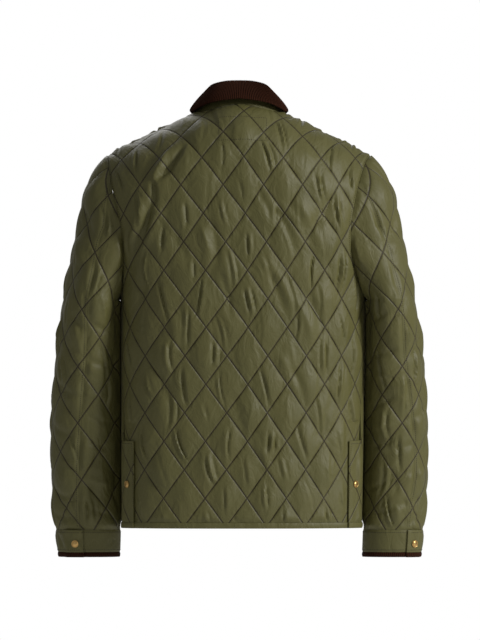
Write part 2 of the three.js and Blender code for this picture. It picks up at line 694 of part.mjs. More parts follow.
// A place on a sleeve: round from its outer line, towards the back where the distance is positive
function sleeveAt(side, distance, z) {
  const ring = sleeveRing(side, z);
  let face = distance >= 0 ? 'back' : 'front';
  let along = Math.abs(distance);
  if (along > walkEnd(ring.faces[face].walk)) {
    along = walkEnd(ring.faces.back.walk) + walkEnd(ring.faces.front.walk) - along;
    face = face === 'back' ? 'front' : 'back';
  }
  const { walk } = ring.faces[face];
  const above = Math.max(walk.findIndex((place) => place.along >= along), 1);
  const share = (along - walk[above - 1].along) / (walk[above].along - walk[above - 1].along || 1);
  const angle = THREE.MathUtils.lerp(walk[above - 1].angle, walk[above].angle, share);
  const place = ringPlace(ring, face, angle);
  return new THREE.Vector3(signOf(side) * place.x, place.y, z);
}

// On the left sleeve the cloth runs round the other way, so that its outer face looks out.
const towardsBack = (side) => -signOf(side);
const sleeveSurface = (side) => (along, up) => sleeveAt(side, along * towardsBack(side), up);

const backSeamAngle = (side, z) => Math.acos(Math.max(read(SLEEVE_SEAM[side], 'lean', z), 0) ** (1 / SLEEVE_POWER));
const cutAngle = (ring, face, angle) => walkTo(ring.faces[face].walk, Math.min(angle, ring.faces[face].end));
const backSeam = (side, z) => cutAngle(sleeveRing(side, z), 'back', backSeamAngle(side, z));
const frontSeam = (side, z) => cutAngle(sleeveRing(side, z), 'front', radians(FRONT_SEAM_ANGLE));
const sleeveGirth = (side, z) => {
  const { back, front } = sleeveRing(side, z).faces;
  return walkEnd(back.walk) + walkEnd(front.walk);
};

function sleeveCloth(side, edgesOf) {
  return new Cloth(sleeveSurface(side), {
    toCloth: plain,
    fromCloth: plain,
    crossing: { across: SLEEVE_CROSSING.across * towardsBack(side), up: SLEEVE_CROSSING.up },
    rise: (place, point) => {
      const ring = sleeveRing(side, place.up);
      const inner = 2 * ring.faces.back.centre - ring.outer;
      const pressed = smooth(Math.abs(point.x) - inner, ...PRESSED.sleeve);
      const fromEdge = Math.min(...edgesOf(place.up).map((edge) => Math.abs(place.along - edge)));
      const seam = smooth(Math.min(fromEdge, place.up - CUFF.top), 0, SEAM_FLAT);
      const free = seam * (place.up < ARMHOLE.bottom ? pressed : 1);
      const across = SLEEVE_CROSSING.across * towardsBack(side);
      return quilting(place.along, place.up, { across, up: SLEEVE_CROSSING.up }) * free;
    },
  });
}

const ordered = (side, from, to) => [from, to].map((distance) => distance * towardsBack(side))
  .sort((one, other) => one - other);

const frontHornTip = (side) => turningPoint(
  ARMHOLE.bottom, armholeMiddle, (z) => sleeveRing(side, z).faces.front.end > radians(FRONT_SEAM_ANGLE));

// The top sleeve: the outer half, from the back seam over to the front seam, up to the sleeve head
function topSleeve(side) {
  const edges = (z) => ordered(side, -frontSeam(side, z) + HALF_GAP, backSeam(side, z) - HALF_GAP);
  const cloth = sleeveCloth(side, edges);
  const rows = rowsBetween(CUFF.top + SEAM_GAP, ARMHOLE.top - 16, SLEEVE_CROSSING);
  const ends = [ARMHOLE.bottom, frontHornTip(side), BACK_HORN_TIP, ...SLEEVE_CAP.rows];
  const isClear = ({ up }) => ends.every((end) => Math.abs(end - up) > 3);
  const all = [...rows.filter(isClear), ...ends.map((up) => ({ up, row: null }))]
    .sort((one, other) => one.up - other.up)
    .map(({ up, row }) => cloth.row(up, ...edges(up), row));
  all.push({ row: null, line: [cloth.add(0, ARMHOLE.top - ARMHOLE_GAP)] });
  cloth.joinAll(all);
  return cloth.solid();
}

// The under sleeve: the inner half, hollowed at its top where the underarm lies between its two horns
function underSleeve(side) {
  const wholeEdges = (z) => ordered(side, backSeam(side, z) + HALF_GAP,
    sleeveGirth(side, z) - frontSeam(side, z) - HALF_GAP);
  const armholeAt = (z, face) => cutAngle(sleeveRing(side, z), face, HALF_TURN);
  const backHorn = (z) => ordered(side, backSeam(side, z) + HALF_GAP, armholeAt(z, 'back'));
  const frontHorn = (z) => ordered(side, sleeveGirth(side, z) - armholeAt(z, 'front'),
    sleeveGirth(side, z) - frontSeam(side, z) - HALF_GAP);
  const cloth = sleeveCloth(side, (z) => {
    if (z <= ARMHOLE.bottom) return wholeEdges(z);
    return [...backHorn(z), ...frontHorn(z)];
  });
  const underarm = armholeAt(ARMHOLE.bottom, 'back') * towardsBack(side);
  const rows = rowsBetween(CUFF.top + SEAM_GAP, ARMHOLE.bottom, SLEEVE_CROSSING).map(
    ({ up, row }) => cloth.row(up, ...wholeEdges(up), row, up === ARMHOLE.bottom ? [underarm] : []));
  cloth.joinAll(rows);
  const horn = (edges, tip) => {
    const made = rowsBetween(ARMHOLE.bottom, tip, SLEEVE_CROSSING).slice(0, -1)
      .concat([4, 11].map((step) => ({ up: ARMHOLE.bottom + step, row: null })))
      .sort((one, other) => one.up - other.up)
      .map(({ up, row }) => cloth.row(up, ...edges(up), row));
    cloth.joinAll([...made, { row: null, line: [cloth.add(edges(tip)[0], tip)] }]);
  };
  horn(backHorn, BACK_HORN_TIP);
  horn(frontHorn, frontHornTip(side));
  return cloth.solid();
}

// A cuff or its binding: once round the wrist, with the outer end lapped over the inner one
function wristBand(side, top, bottom, rise, wall) {
  const edgeAt = (z) => cutAngle(sleeveRing(side, z), 'back', Math.acos(CUFF.edgeLean[side]));
  const lift = ({ along, up }) => {
    const inside = edgeAt(up) - along * towardsBack(side);
    return CUFF.lift * (1 - smooth(inside, CUFF.lap + 2, CUFF.lap + 16));
  };
  const cloth = new Cloth(sleeveSurface(side), {
    toCloth: plain, fromCloth: plain, crossing: { across: 0, up: 0 }, rise: () => rise, lift,
  });
  const rows = [bottom, (top + bottom) / 2, top].map((up) => {
    const start = edgeAt(up) - sleeveGirth(side, up) - CUFF.lap;
    const folds = [CUFF.lap + 2, CUFF.lap + 9, CUFF.lap + 16];
    return cloth.row(up, ...ordered(side, start, edgeAt(up)), 0,
      folds.map((fold) => (edgeAt(up) - fold) * towardsBack(side)));
  });
  cloth.joinAll(rows);
  return cloth.solid(wall);
}

// The collar's neck seam, its fold and its turned-down edge, by angle from the centre back
const onOval = (oval, angle) => ({
  x: oval.halfWidth * Math.sin(angle),
  y: Math.cos(angle) * (Math.abs(angle) < QUARTER_TURN ? oval.back : oval.front),
});

function bodyUnder(x, y) {
  const sign = x >= 0 ? 1 : -1;
  const [from, to] = y >= 0 ? [0, 300] : [halfGirth(x >= 0 ? 'left' : 'right', 0), 200];
  const along = turningPoint(from, to, (distance) => Math.abs(bodyColumn(sign * distance, 0).x) < Math.abs(x));
  const column = bodyColumn(sign * along, 0);
  const share = Math.min(Math.abs(y / column.y), 1);
  return column.roundingStart + SHOULDER_ROUNDING * Math.sqrt(1 - share * share);
}

const collarRead = (degrees, key) => read(COLLAR, key, Math.abs(degrees), 'angle');

function neckSeam(degrees) {
  const { x, y } = onOval(NECK, radians(degrees));
  return new THREE.Vector3(x, y, bodyUnder(x, y));
}

function foldLine(degrees) {
  const { x, y } = onOval(FOLD, radians(degrees));
  return new THREE.Vector3(x, y, collarRead(degrees, 'fold'));
}

// The leaf's edge stands free behind the neck and rests on the shoulders and chest in front.
function leafEdge(degrees) {
  const angle = radians(degrees);
  const { x, y } = onOval(LEAF_EDGE, angle);
  const z = collarRead(degrees, 'edge');
  if (Math.abs(degrees) < FREE_BEHIND) return new THREE.Vector3(x, y, z);
  return new THREE.Vector3(x, y, Math.max(z, bodyUnder(x, y) + LEAF_EDGE.rest));
}

const collarSurface = (from, to, depth, bulge) => (degrees, up) => {
  const share = up / depth;
  const point = from(degrees).lerp(to(degrees), share);
  const angle = radians(degrees);
  const arch = bulge * 4 * share * (1 - share);
  return point.add(new THREE.Vector3(Math.sin(angle) * arch, Math.cos(angle) * arch, arch * 0.5));
};

function collarBand(surface, depth, steps, wall) {
  const cloth = new Cloth(surface, {
    toCloth: plain, fromCloth: plain, crossing: { across: 0, up: 0 }, rise: () => 0,
  });
  const rows = [];
  for (let step = 0; step <= steps; step += 1) {
    const line = [];
    for (let column = -COLLAR_COLUMNS; column <= COLLAR_COLUMNS; column += 1) {
      line.push(cloth.add((column / COLLAR_COLUMNS) * COLLAR_END, (step / steps) * depth, column));
    }
    rows.push({ row: step, line });
  }
  cloth.joinAll(rows);
  return cloth.solid(wall);
}

// A press stud's cap: a low dome with a rim, standing on the cloth
function snapCap() {
  const { radius, height, sides } = SNAP;
  const profile = [[0, 0], [radius, 0], [radius, height * 0.35], [radius * 0.78, height * 0.8], [0, height]];
  return new THREE.LatheGeometry(profile.map(([x, y]) => new THREE.Vector2(x, y)), sides);
}

function addSnap(name, surface, along, up, standOff) {
  const normal = outward(surface, along, up);
  const mesh = new THREE.Mesh(snapCap(), FINISH.brass);
  mesh.name = name;
  mesh.position.copy(surface(along, up)).addScaledVector(normal, standOff);
  mesh.quaternion.setFromUnitVectors(new THREE.Vector3(0, 1, 0), normal);
  jacket.add(mesh);
}

add('back', backPanel(), FINISH.nylon);
add('hem_binding_back', hemBinding(
  surfaceOf(BACK), [backEdge('right', HEM_Z), backEdge('left', HEM_Z)]), FINISH.nylon);
SIDES.forEach((side) => {
  const { piece, lift, extras, ends } = frontLayout(side);
  add(`front_${side}`, frontPanel(side), FINISH.nylon);
  add(`hem_binding_front_${side}`, hemBinding(
    surfaceOf(piece), ends(HEM_Z), lift, extras(HEM_Z)), FINISH.nylon);
  add(`top_sleeve_${side}`, topSleeve(side), FINISH.nylon);
  add(`under_sleeve_${side}`, underSleeve(side), FINISH.nylon);
  add(`cuff_${side}`, wristBand(side, CUFF.top, CUFF.bottom, CUFF.rise, WALL), FINISH.nylon);
  add(`cuff_binding_${side}`, wristBand(
    side, CUFF.bottom - SEAM_GAP, CUFF.bindingBottom, CUFF.rise, CORD_WALL), FINISH.corduroy);
  addSnap(`vent_snap_${side}`, surfaceOf(piece),
    piece.alongAt(signOf(side) * (sideSeam(side, VENT.top) - VENT.flap + VENT.snapInset), VENT.snapUp),
    VENT.snapUp, VENT.lift + SEAM_GAP);
  const snapZ = (CUFF.top + CUFF.bindingBottom) / 2;
  const cuffEdge = cutAngle(sleeveRing(side, snapZ), 'back', Math.acos(CUFF.edgeLean[side]));
  addSnap(`cuff_snap_${side}`, sleeveSurface(side), (cuffEdge - CUFF.snapInset) * towardsBack(side), snapZ,
    CUFF.lift + CUFF.rise + SEAM_GAP);
});
const standTop = (degrees) => {
  const point = foldLine(degrees);
  const inward = new THREE.Vector3(Math.sin(radians(degrees)), Math.cos(radians(degrees)), 0);
  return point.addScaledVector(inward, -(CORD_WALL + STAND_CLEARANCE));
};
const standFoot = (degrees) => neckSeam(degrees).add(new THREE.Vector3(0, 0, COLLAR_SEAT));
add('collar_stand', collarBand(
  collarSurface(standFoot, standTop, STAND_DEPTH, 0), STAND_DEPTH, 2, WALL), FINISH.nylon);
add('collar_leaf', collarBand(
  collarSurface(leafEdge, foldLine, LEAF_DEPTH, LEAF_BULGE), LEAF_DEPTH, 3, CORD_WALL), FINISH.corduroy);
for (let i = 0; i < FRONT_SNAPS.count; i += 1) {
  const up = THREE.MathUtils.lerp(FRONT_SNAPS.top, FRONT_SNAPS.bottom, i / (FRONT_SNAPS.count - 1));
  addSnap(`front_snap_${i + 1}`, surfaceOf(FRONTS.left), 0, up, OVERLAP.lift + SEAM_GAP);
}
export default jacket;
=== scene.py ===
import math
import bmesh
import bpy
import numpy as np
from mathutils import Matrix, Vector


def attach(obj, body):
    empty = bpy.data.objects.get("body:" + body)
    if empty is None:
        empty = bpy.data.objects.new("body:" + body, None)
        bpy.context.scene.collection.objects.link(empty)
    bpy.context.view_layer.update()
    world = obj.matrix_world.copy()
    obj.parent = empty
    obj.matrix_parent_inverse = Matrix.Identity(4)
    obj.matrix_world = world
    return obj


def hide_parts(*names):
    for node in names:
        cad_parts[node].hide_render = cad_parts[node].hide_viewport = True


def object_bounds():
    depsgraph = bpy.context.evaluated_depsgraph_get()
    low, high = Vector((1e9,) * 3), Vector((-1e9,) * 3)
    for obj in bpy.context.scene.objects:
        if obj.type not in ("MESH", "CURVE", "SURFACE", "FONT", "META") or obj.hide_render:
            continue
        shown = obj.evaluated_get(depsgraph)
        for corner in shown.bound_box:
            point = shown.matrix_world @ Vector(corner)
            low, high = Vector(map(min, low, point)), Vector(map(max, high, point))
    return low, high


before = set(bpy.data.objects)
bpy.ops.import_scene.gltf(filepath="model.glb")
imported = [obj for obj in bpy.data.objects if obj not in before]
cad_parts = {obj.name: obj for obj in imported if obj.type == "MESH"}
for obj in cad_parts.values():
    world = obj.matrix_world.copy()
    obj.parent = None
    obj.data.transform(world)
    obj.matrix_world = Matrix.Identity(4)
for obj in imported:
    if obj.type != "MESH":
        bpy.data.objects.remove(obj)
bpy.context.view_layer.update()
bpy.ops.object.select_all(action="DESELECT")

# The body's form
# A hip-length jacket of light nylon quilted to thin wadding, filled out as if worn. Its body is one
# tube of cloth that rounds over at the shoulders, which the back and two fronts are cut from.
MM = 0.001
WALL = 2.0
SEAM_GAP = 0.3
HALF_GAP = SEAM_GAP / 2
BODY_RINGS = np.array([
    # height, half width, back depth, front depth, middle
    (-702, 205, 112, 126, -5),
    (-550, 207, 116, 130, -6),
    (-400, 209, 121, 136, -7),
    (-300, 211, 125, 139, -7),
    (-200, 228, 127, 134, -4),
    (-120, 238, 126, 124, 0),
    (-40, 242, 125, 112, 0),
    (60, 242, 125, 104, 0),
], float)
HALF_WIDTH, BACK_DEPTH, FRONT_DEPTH, MIDDLE = 1, 2, 3, 4
REFERENCE = {"half_width": 211, "back": 125, "front": 139}
CORNER = {"left": 2.8, "right": 2.2, "front": 2.5}
# The shoulder line: its height at the neck, its slope, how it rounds there, and its droop further out
SHOULDER_LINE = {"top": 44, "slope": 0.47, "round": 20, "droop": 0.0001}
SHOULDER_ROUNDING = 110
HEM_Z = -692
BACK_LAST_ROW = 28.5
FRONT_LAST_ROW = -44.25
ARMHOLE = {"top": -67, "bottom": -311, "half_depth": 75, "centre_y": 5, "settling": 80}
VENT = {"seam": 227, "top": -553.5, "flap": 34, "lift": 3.8, "snap_inset": 17, "snap_up": -627}
WALK_STEPS = 240
HALVINGS = 30
PLACE_STEPS = 5
RIDGE_STEPS = 7
SIDES = {"left": 1, "right": -1}


def smooth(value, low, high):
    share = np.clip((value - low) / (high - low), 0, 1)
    return share * share * (3 - 2 * share)


def read(table, column, at):
    """One column of a table at each height, on a smooth curve through its rows."""
    rising = table if table[0, 0] < table[-1, 0] else table[::-1]
    heights, values = rising[:, 0], rising[:, column]
    at = np.clip(at, heights[0], heights[-1])
    upper = np.clip(np.searchsorted(heights, at), 1, len(heights) - 1)
    lower = upper - 1
    before, after = np.maximum(lower - 1, 0), np.minimum(upper + 1, len(heights) - 1)
    span = heights[upper] - heights[lower]
    share = (at - heights[lower]) / span
    start_slope = (values[upper] - values[before]) / (heights[upper] - heights[before]) * span
    end_slope = (values[after] - values[lower]) / (heights[after] - heights[lower]) * span
    bend = 2 * share**3 - 3 * share**2
    return (
        values[lower] * (1 + bend)
        - values[upper] * bend
        + start_slope * (share**3 - 2 * share**2 + share)
        + end_slope * (share**3 - share**2)
    )


def turning_point(start, end, holds):
    """Halves its way to where a test turns from true to false, for many places at once."""
    good, bad = np.broadcast_arrays(np.asarray(start, float), np.asarray(end, float))
    for _ in range(HALVINGS):
        middle = (good + bad) / 2
        held = holds(middle)
        good, bad = np.where(held, middle, good), np.where(held, bad, middle)
    return good


def ring_walk(side):
    """Half of the reference ring: how far along the cloth each place is from the centre back."""
    turn = np.linspace(0, math.pi, WALK_STEPS + 1)
    is_back = turn <= math.pi / 2
    power = 2 / np.where(is_back, CORNER[side], CORNER["front"])
    across = np.abs(np.sin(turn)) ** power
    deep = np.abs(np.cos(turn)) ** power * np.where(is_back, 1, -1)
    x = across * REFERENCE["half_width"]
    y = deep * np.where(is_back, REFERENCE["back"], REFERENCE["front"])
    along = np.concatenate([[0], np.cumsum(np.hypot(np.diff(x), np.diff(y)))])
    return along, across, deep


WALKS = {side: ring_walk(side) for side in SIDES}


def half_girth(side, z):
    return WALKS[side][0][-1] * read(BODY_RINGS, HALF_WIDTH, z) / REFERENCE["half_width"]


def body_column(along, z):
    """Where the cloth stands at a distance round from the centre back, and how the shoulder rounds it."""
    along, z = np.broadcast_arrays(np.asarray(along, float), np.asarray(z, float))
    to_left = along >= 0
    distance = np.abs(along)
    whole = np.where(to_left, half_girth("left", z), half_girth("right", z))
    other = np.where(to_left, half_girth("right", z), half_girth("left", z))
    crosses = distance > whole
    to_left = to_left != crosses
    distance = np.where(crosses, other - (distance - whole), distance)
    half_width = read(BODY_RINGS, HALF_WIDTH, z)
    walked = distance * REFERENCE["half_width"] / half_width
    left, right = WALKS["left"], WALKS["right"]
    across = np.where(to_left, np.interp(walked, left[0], left[1]), np.interp(walked, right[0], right[1]))
    deep = np.where(to_left, np.interp(walked, left[0], left[2]), np.interp(walked, right[0], right[2]))
    depth = np.where(deep > 0, read(BODY_RINGS, BACK_DEPTH, z), read(BODY_RINGS, FRONT_DEPTH, z))
    x = read(BODY_RINGS, MIDDLE, z) + np.where(to_left, 1, -1) * half_width * across
    line = SHOULDER_LINE["top"] - SHOULDER_LINE["slope"] * np.hypot(x, SHOULDER_LINE["round"])
    start = line - SHOULDER_LINE["droop"] * x * x - SHOULDER_ROUNDING
    length = math.pi / 2 * np.hypot(SHOULDER_ROUNDING, depth * deep) / math.sqrt(2)
    return x, depth * deep, start, length, half_width * (1 - across)


def stand_at(column_at, up):
    """A place on the body's outer surface: a column of cloth, and a distance up it."""
    z = up
    x, y, start, length, _ = column_at(z)
    for _ in range(PLACE_STEPS):
        share = np.clip((up - start) / length, 0, 1)
        z = np.where(share > 0, start + SHOULDER_ROUNDING * np.sin(share * math.pi / 2), up)
        x, y, start, length, _ = column_at(z)
    return np.stack([x, y * np.cos(share * math.pi / 2), z], -1)


def ridge_up(column_at):
    """How far up a column the shoulder seam lies."""
    z = 0.0
    for _ in range(RIDGE_STEPS):
        _, _, start, length, _ = column_at(z)
        z = start + SHOULDER_ROUNDING
    return start + length


# A front is measured from the centre front, and the back from its middle.
def back_column(along):
    return lambda z: body_column(along, z)


def left_front_column(along):
    return lambda z: body_column(half_girth("left", z) + along, z)


def right_front_column(along):
    return lambda z: body_column(along - half_girth("right", z), z)


FRONT_COLUMNS = {"left": left_front_column, "right": right_front_column}
ARMHOLE_MIDDLE = (ARMHOLE["top"] + ARMHOLE["bottom"]) / 2
ARMHOLE_HALF_HEIGHT = (ARMHOLE["top"] - ARMHOLE["bottom"]) / 2


def armhole_half_depth(z):
    reach = (z - ARMHOLE_MIDDLE) / ARMHOLE_HALF_HEIGHT
    return ARMHOLE["half_depth"] * np.sqrt(np.maximum(0, 1 - reach * reach))


def armhole_centre(z):
    return ARMHOLE["centre_y"] * smooth(ARMHOLE["top"] - z, 0, ARMHOLE["settling"])


def is_in_armhole(place):
    z = place[..., 2]
    between = (z <= ARMHOLE["top"]) & (z >= ARMHOLE["bottom"])
    return between & (np.abs(place[..., 1] - armhole_centre(z)) < armhole_half_depth(z))


def body_at_height(along, z):
    x, y, start, _, _ = body_column(along, z)
    climbed = np.clip((z - start) / SHOULDER_ROUNDING, 0, 1)
    return np.stack(np.broadcast_arrays(x, y * np.sqrt(1 - climbed**2), z), -1)


def distance_at_depth(sign, z, depth, start, end):
    return turning_point(start, end, lambda reach: body_at_height(sign * reach, z)[..., 1] > depth)


SEAM_SEARCH = (150, 350)
SIDE_SEAM_TOP = {
    side: float(distance_at_depth(sign, ARMHOLE["bottom"], ARMHOLE["centre_y"], *SEAM_SEARCH))
    for side, sign in SIDES.items()
}


def side_seam(side, up):
    rise = smooth(up, VENT["top"], ARMHOLE["bottom"])
    return VENT["seam"] + (SIDE_SEAM_TOP[side] - VENT["seam"]) * rise


def armhole_edge(column, up, start, end):
    """How far a row of a back or front runs, to the armhole or to the shoulder seam above it."""

    def is_cloth(along):
        return ~is_in_armhole(stand_at(column(along), up)) & (up < ridge_up(column(along)))

    return turning_point(start, end, is_cloth)

# Quilted cloth
# Nylon taffeta quilted in diamonds to thin wadding. The stitch lines pull the cloth down in two
# crossing sets, and the wadding puffs it up between them. Soft creases run over the diamonds.
DIAMOND_WIDTH = 72
DIAMOND_HEIGHT = 97
PUFF = 4.8
PUFF_POWER = 0.74
CELLS = 15
COLUMN = DIAMOND_WIDTH / 2 / CELLS
ROW = DIAMOND_HEIGHT / 2 / CELLS
NEAR_EDGE = 1.2
SEAM_FLAT = 9
BODY_CROSSING = (27.5, -311)
RIGHT_BACK_EASE = 1.07
MERGE_DIGITS = 2
NEARBY = 0.5
# Chance gives each diamond ten traits between 0 and 1.
DIAMONDS = 64
TRAITS = 10
SEED = 11
chance = np.random.default_rng(SEED).random((DIAMONDS, DIAMONDS, TRAITS))
# How full a diamond is, and how far its wadding leans to one side or up
FILLING = {"least": 0.7, "spread": 0.6, "aside": 0.13, "up": 0.06}
# The two upright creases in a diamond and the swell between them. What is drawn by chance has a second
# value, which adds to the first.
SLIP = {
    "aside": 26, "up": 14, "lean": 0.08, "more_lean": 0.5, "bow": 0.012,
    "apart": 7, "more_apart": 6, "half_length": 16, "more_length": 22,
    "width": 1.9, "more_width": 1.6, "second_width": 1.8, "more_second": 1.8,
    "depth": 4.4, "second_depth": 3.6, "swell": 2.2, "swell_width": 4.5, "hold": 0.3,
}
FIRST_SHOWS, SECOND_SHOWS = (0.15, 0.85), (0.3, 0.9)


def quilting(a, b):
    """Height of the puffs: none on the stitch lines, most in the middle of a diamond. No two diamonds
    are filled alike, and most have a soft upright crease or two where the wadding has slipped."""
    ridge = np.abs(np.sin((a + b) * math.pi) * np.sin((a - b) * math.pi))
    i, j = np.floor(a + b).astype(int), np.floor(a - b).astype(int)
    x = (a - (i + j + 1) / 2) * DIAMOND_WIDTH
    y = (b - (i - j) / 2) * DIAMOND_HEIGHT
    filled, tilt, place, lean, depth, reach, breadth, other, fold, turn = np.moveaxis(
        chance[i % DIAMONDS, j % DIAMONDS], -1, 0)
    height = PUFF * (FILLING["least"] + FILLING["spread"] * filled) * ridge**PUFF_POWER
    height += ridge * (FILLING["aside"] * (tilt - 0.5) * x + FILLING["up"] * (turn - 0.5) * y)
    bow = SLIP["bow"] * (turn - 0.5) * y * y
    slant = SLIP["more_lean"] * (lean - 0.5) + SLIP["lean"]
    first = x - SLIP["aside"] * (place - 0.5) - slant * y - bow
    second = first + np.where(other > 0.5, 1, -1) * (SLIP["apart"] + SLIP["more_apart"] * other)
    half_length = SLIP["half_length"] + SLIP["more_length"] * reach
    along_crease = np.exp(-(((y - SLIP["up"] * (tilt - 0.5)) / half_length) ** 4))
    trough = np.exp(-((first / (SLIP["width"] + SLIP["more_width"] * breadth)) ** 2))
    other_trough = np.exp(-((second / (SLIP["second_width"] + SLIP["more_second"] * lean)) ** 2))
    swell = np.exp(-(((first + second) / 2 / SLIP["swell_width"]) ** 2))
    held = ridge ** SLIP["hold"] * along_crease
    height -= held * SLIP["depth"] * smooth(depth, *FIRST_SHOWS) * trough
    height -= held * SLIP["second_depth"] * smooth(fold, *SECOND_SHOWS) * other_trough
    height += held * SLIP["swell"] * fold * swell
    return height


BOW = 0.05
TAPER_IN, TAPER_OUT = (-0.05, 0.3), (0.6, 1.05)


def creases(across, up, table):
    """Soft troughs and ridges: each from one place to another, with a width and a depth in millimetres."""
    height = np.zeros_like(across)
    for from_across, from_up, to_across, to_up, width, depth in table:
        run = np.array([to_across - from_across, to_up - from_up], float)
        length = np.hypot(*run)
        share = ((across - from_across) * run[0] + (up - from_up) * run[1]) / length**2
        aside = ((across - from_across) * run[1] - (up - from_up) * run[0]) / length
        bow = BOW * length * np.sin(np.clip(share, 0, 1) * math.pi)
        taper = smooth(share, *TAPER_IN) * (1 - smooth(share, *TAPER_OUT))
        height += depth * np.exp(-(((aside - bow) / width) ** 2)) * taper
    return height


def same(value):
    return value


class Cloth:
    """A piece of cloth as rows of places. Its triangles follow the stitch lines, and it has a thin wall."""

    def __init__(self, surface, crossing=(0, 0), to_cloth=same, from_cloth=same):
        self.surface, self.crossing = surface, crossing
        self.to_cloth, self.from_cloth = to_cloth, from_cloth
        self.along, self.up, self.column = [], [], []
        self.rows, self.triangles = [], []

    def add(self, along, up, column):
        first = len(self.along)
        self.along.extend(along)
        self.up.extend(up)
        self.column.extend(column)
        return list(range(first, len(self.along)))

    def row(self, up, left, right, step=COLUMN, extras=()):
        first = math.ceil((self.to_cloth(left + NEAR_EDGE) - self.crossing[0]) / step)
        last = math.floor((self.to_cloth(right - NEAR_EDGE) - self.crossing[0]) / step)
        stops = [(left, "left"), (right, "right")]
        stops += [(along, name) for name, along in enumerate(extras, 10**6)]
        for number in range(first, last + 1):
            along = self.from_cloth(self.crossing[0] + number * step)
            inside = left + NEAR_EDGE / 2 < along < right - NEAR_EDGE / 2
            if inside and all(abs(along - extra) > NEAR_EDGE for extra in extras):
                stops.append((along, number))
        stops.sort(key=lambda stop: stop[0])
        line = self.add([stop[0] for stop in stops], [up] * len(stops), [stop[1] for stop in stops])
        self.rows.append(line)
        return line

    def climb(self, top_up, shift=None):
        """Rows that climb from the last whole row to a shaped top edge."""
        base = self.rows[-1]
        along = np.array([self.along[i] for i in base])
        start = self.up[base[0]]
        move = np.zeros_like(along) if shift is None else shift(along)
        top = np.maximum(top_up(along + move), start)
        count = math.ceil((top.max() - start) / ROW)
        for step in range(1, count + 1):
            share = step / count
            columns = [self.column[i] for i in base]
            self.rows.append(self.add(along + move * share, start + (top - start) * share, columns))

    def join(self, low, high):
        a = b = 0
        while a < len(low) - 1 or b < len(high) - 1:
            next_low = low[a + 1] if a < len(low) - 1 else None
            next_high = high[b + 1] if b < len(high) - 1 else None
            both = next_low is not None and next_high is not None
            if both and self.column[low[a]] == self.column[high[b]] \
                    and self.column[next_low] == self.column[next_high]:
                if self.leans_right(low[a], next_high):
                    self.triangles += [(low[a], next_low, next_high), (low[a], next_high, high[b])]
                else:
                    self.triangles += [(low[a], next_low, high[b]), (next_low, next_high, high[b])]
                a, b = a + 1, b + 1
            elif next_high is None or (both and self.along[next_low] <= self.along[next_high]):
                self.triangles.append((low[a], next_low, high[b]))
                a += 1
            else:
                self.triangles.append((low[a], next_high, high[b]))
                b += 1

    def leans_right(self, one, other):
        """Whether the nearer stitch line climbs to the right in a cell."""
        across = (self.to_cloth(self.along[one]) + self.to_cloth(self.along[other])) / 2
        up = (self.up[one] + self.up[other]) / 2
        a = (across - self.crossing[0]) / DIAMOND_WIDTH
        b = (up - self.crossing[1]) / DIAMOND_HEIGHT
        return abs((a - b) - round(a - b)) < abs((a + b) - round(a + b))

    def shape(self):
        self.along, self.up = np.array(self.along, float), np.array(self.up, float)
        self.across = np.vectorize(self.to_cloth)(self.along)
        self.a = (self.across - self.crossing[0]) / DIAMOND_WIDTH
        self.b = (self.up - self.crossing[1]) / DIAMOND_HEIGHT
        self.place = self.surface(self.along, self.up)
        east = self.surface(self.along + NEARBY, self.up) - self.surface(self.along - NEARBY, self.up)
        north = self.surface(self.along, self.up + NEARBY) - self.surface(self.along, self.up - NEARBY)
        normal = np.cross(north, east)
        self.normal = normal / np.linalg.norm(normal, axis=1, keepdims=True)

    def flat_cut(self):
        """Width, length and area of the piece laid flat, in metres."""
        corners = np.array(self.triangles)
        flat = np.stack([self.along, self.up], 1)[corners] * MM
        one, other = flat[:, 1] - flat[:, 0], flat[:, 2] - flat[:, 0]
        area = np.abs(one[:, 0] * other[:, 1] - one[:, 1] * other[:, 0]).sum() / 2
        return np.ptp(self.along) * MM, np.ptp(self.up) * MM, area

    def finished(self, name, material, rise=0.0, lift=0.0, wall=WALL):
        """Makes the closed piece: raised outside, plain inside, with its edges turned in."""
        outer = self.place + self.normal * np.reshape(rise + lift + np.zeros(len(self.along)), (-1, 1))
        inner = self.place + self.normal * np.reshape(lift - wall + np.zeros(len(self.along)), (-1, 1))
        corners = np.array(self.triangles)
        _, keep, order = np.unique(outer.round(MERGE_DIGITS), axis=0, return_index=True, return_inverse=True)
        corners = keep[order.ravel()][corners]
        whole = (corners != np.roll(corners, 1, axis=1)).all(axis=1)
        corners = corners[whole]
        count = len(outer)
        edges = {}
        for a, b, c in corners.tolist():
            for start, end in ((a, b), (b, c), (c, a)):
                if edges.pop((end, start), None) is None:
                    edges[start, end] = True
        faces = corners[:, ::-1].tolist() + (corners + count).tolist()
        faces += [(start, end, end + count, start + count) for start, end in edges]
        mesh = bpy.data.meshes.new(name)
        mesh.from_pydata((np.concatenate([outer, inner]) * MM).tolist(), [], faces)
        cloth_map = mesh.uv_layers.new(name="Cloth")
        flat = np.tile(np.stack([self.a, self.b], 1), (2, 1))
        corner_of = np.empty(len(mesh.loops), int)
        mesh.loops.foreach_get("vertex_index", corner_of)
        cloth_map.data.foreach_set("uv", flat[corner_of].ravel())
        bm = bmesh.new()
        bm.from_mesh(mesh)
        bmesh.ops.delete(bm, geom=[vertex for vertex in bm.verts if not vertex.link_faces], context="VERTS")
        bm.to_mesh(mesh)
        bm.free()
        mesh.materials.append(material)
        piece = bpy.data.objects.new(name, mesh)
        bpy.context.scene.collection.objects.link(piece)
        soften(piece)
        return piece


def soften(piece, angle=45):
    bpy.ops.object.select_all(action="DESELECT")
    bpy.context.view_layer.objects.active = piece
    piece.select_set(True)
    bpy.ops.object.shade_smooth_by_angle(angle=math.radians(angle))
    piece.select_set(False)


def put_in_place(piece, node):
    """Puts a finished piece in its node's place."""
    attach(piece, "root")
    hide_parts(node)


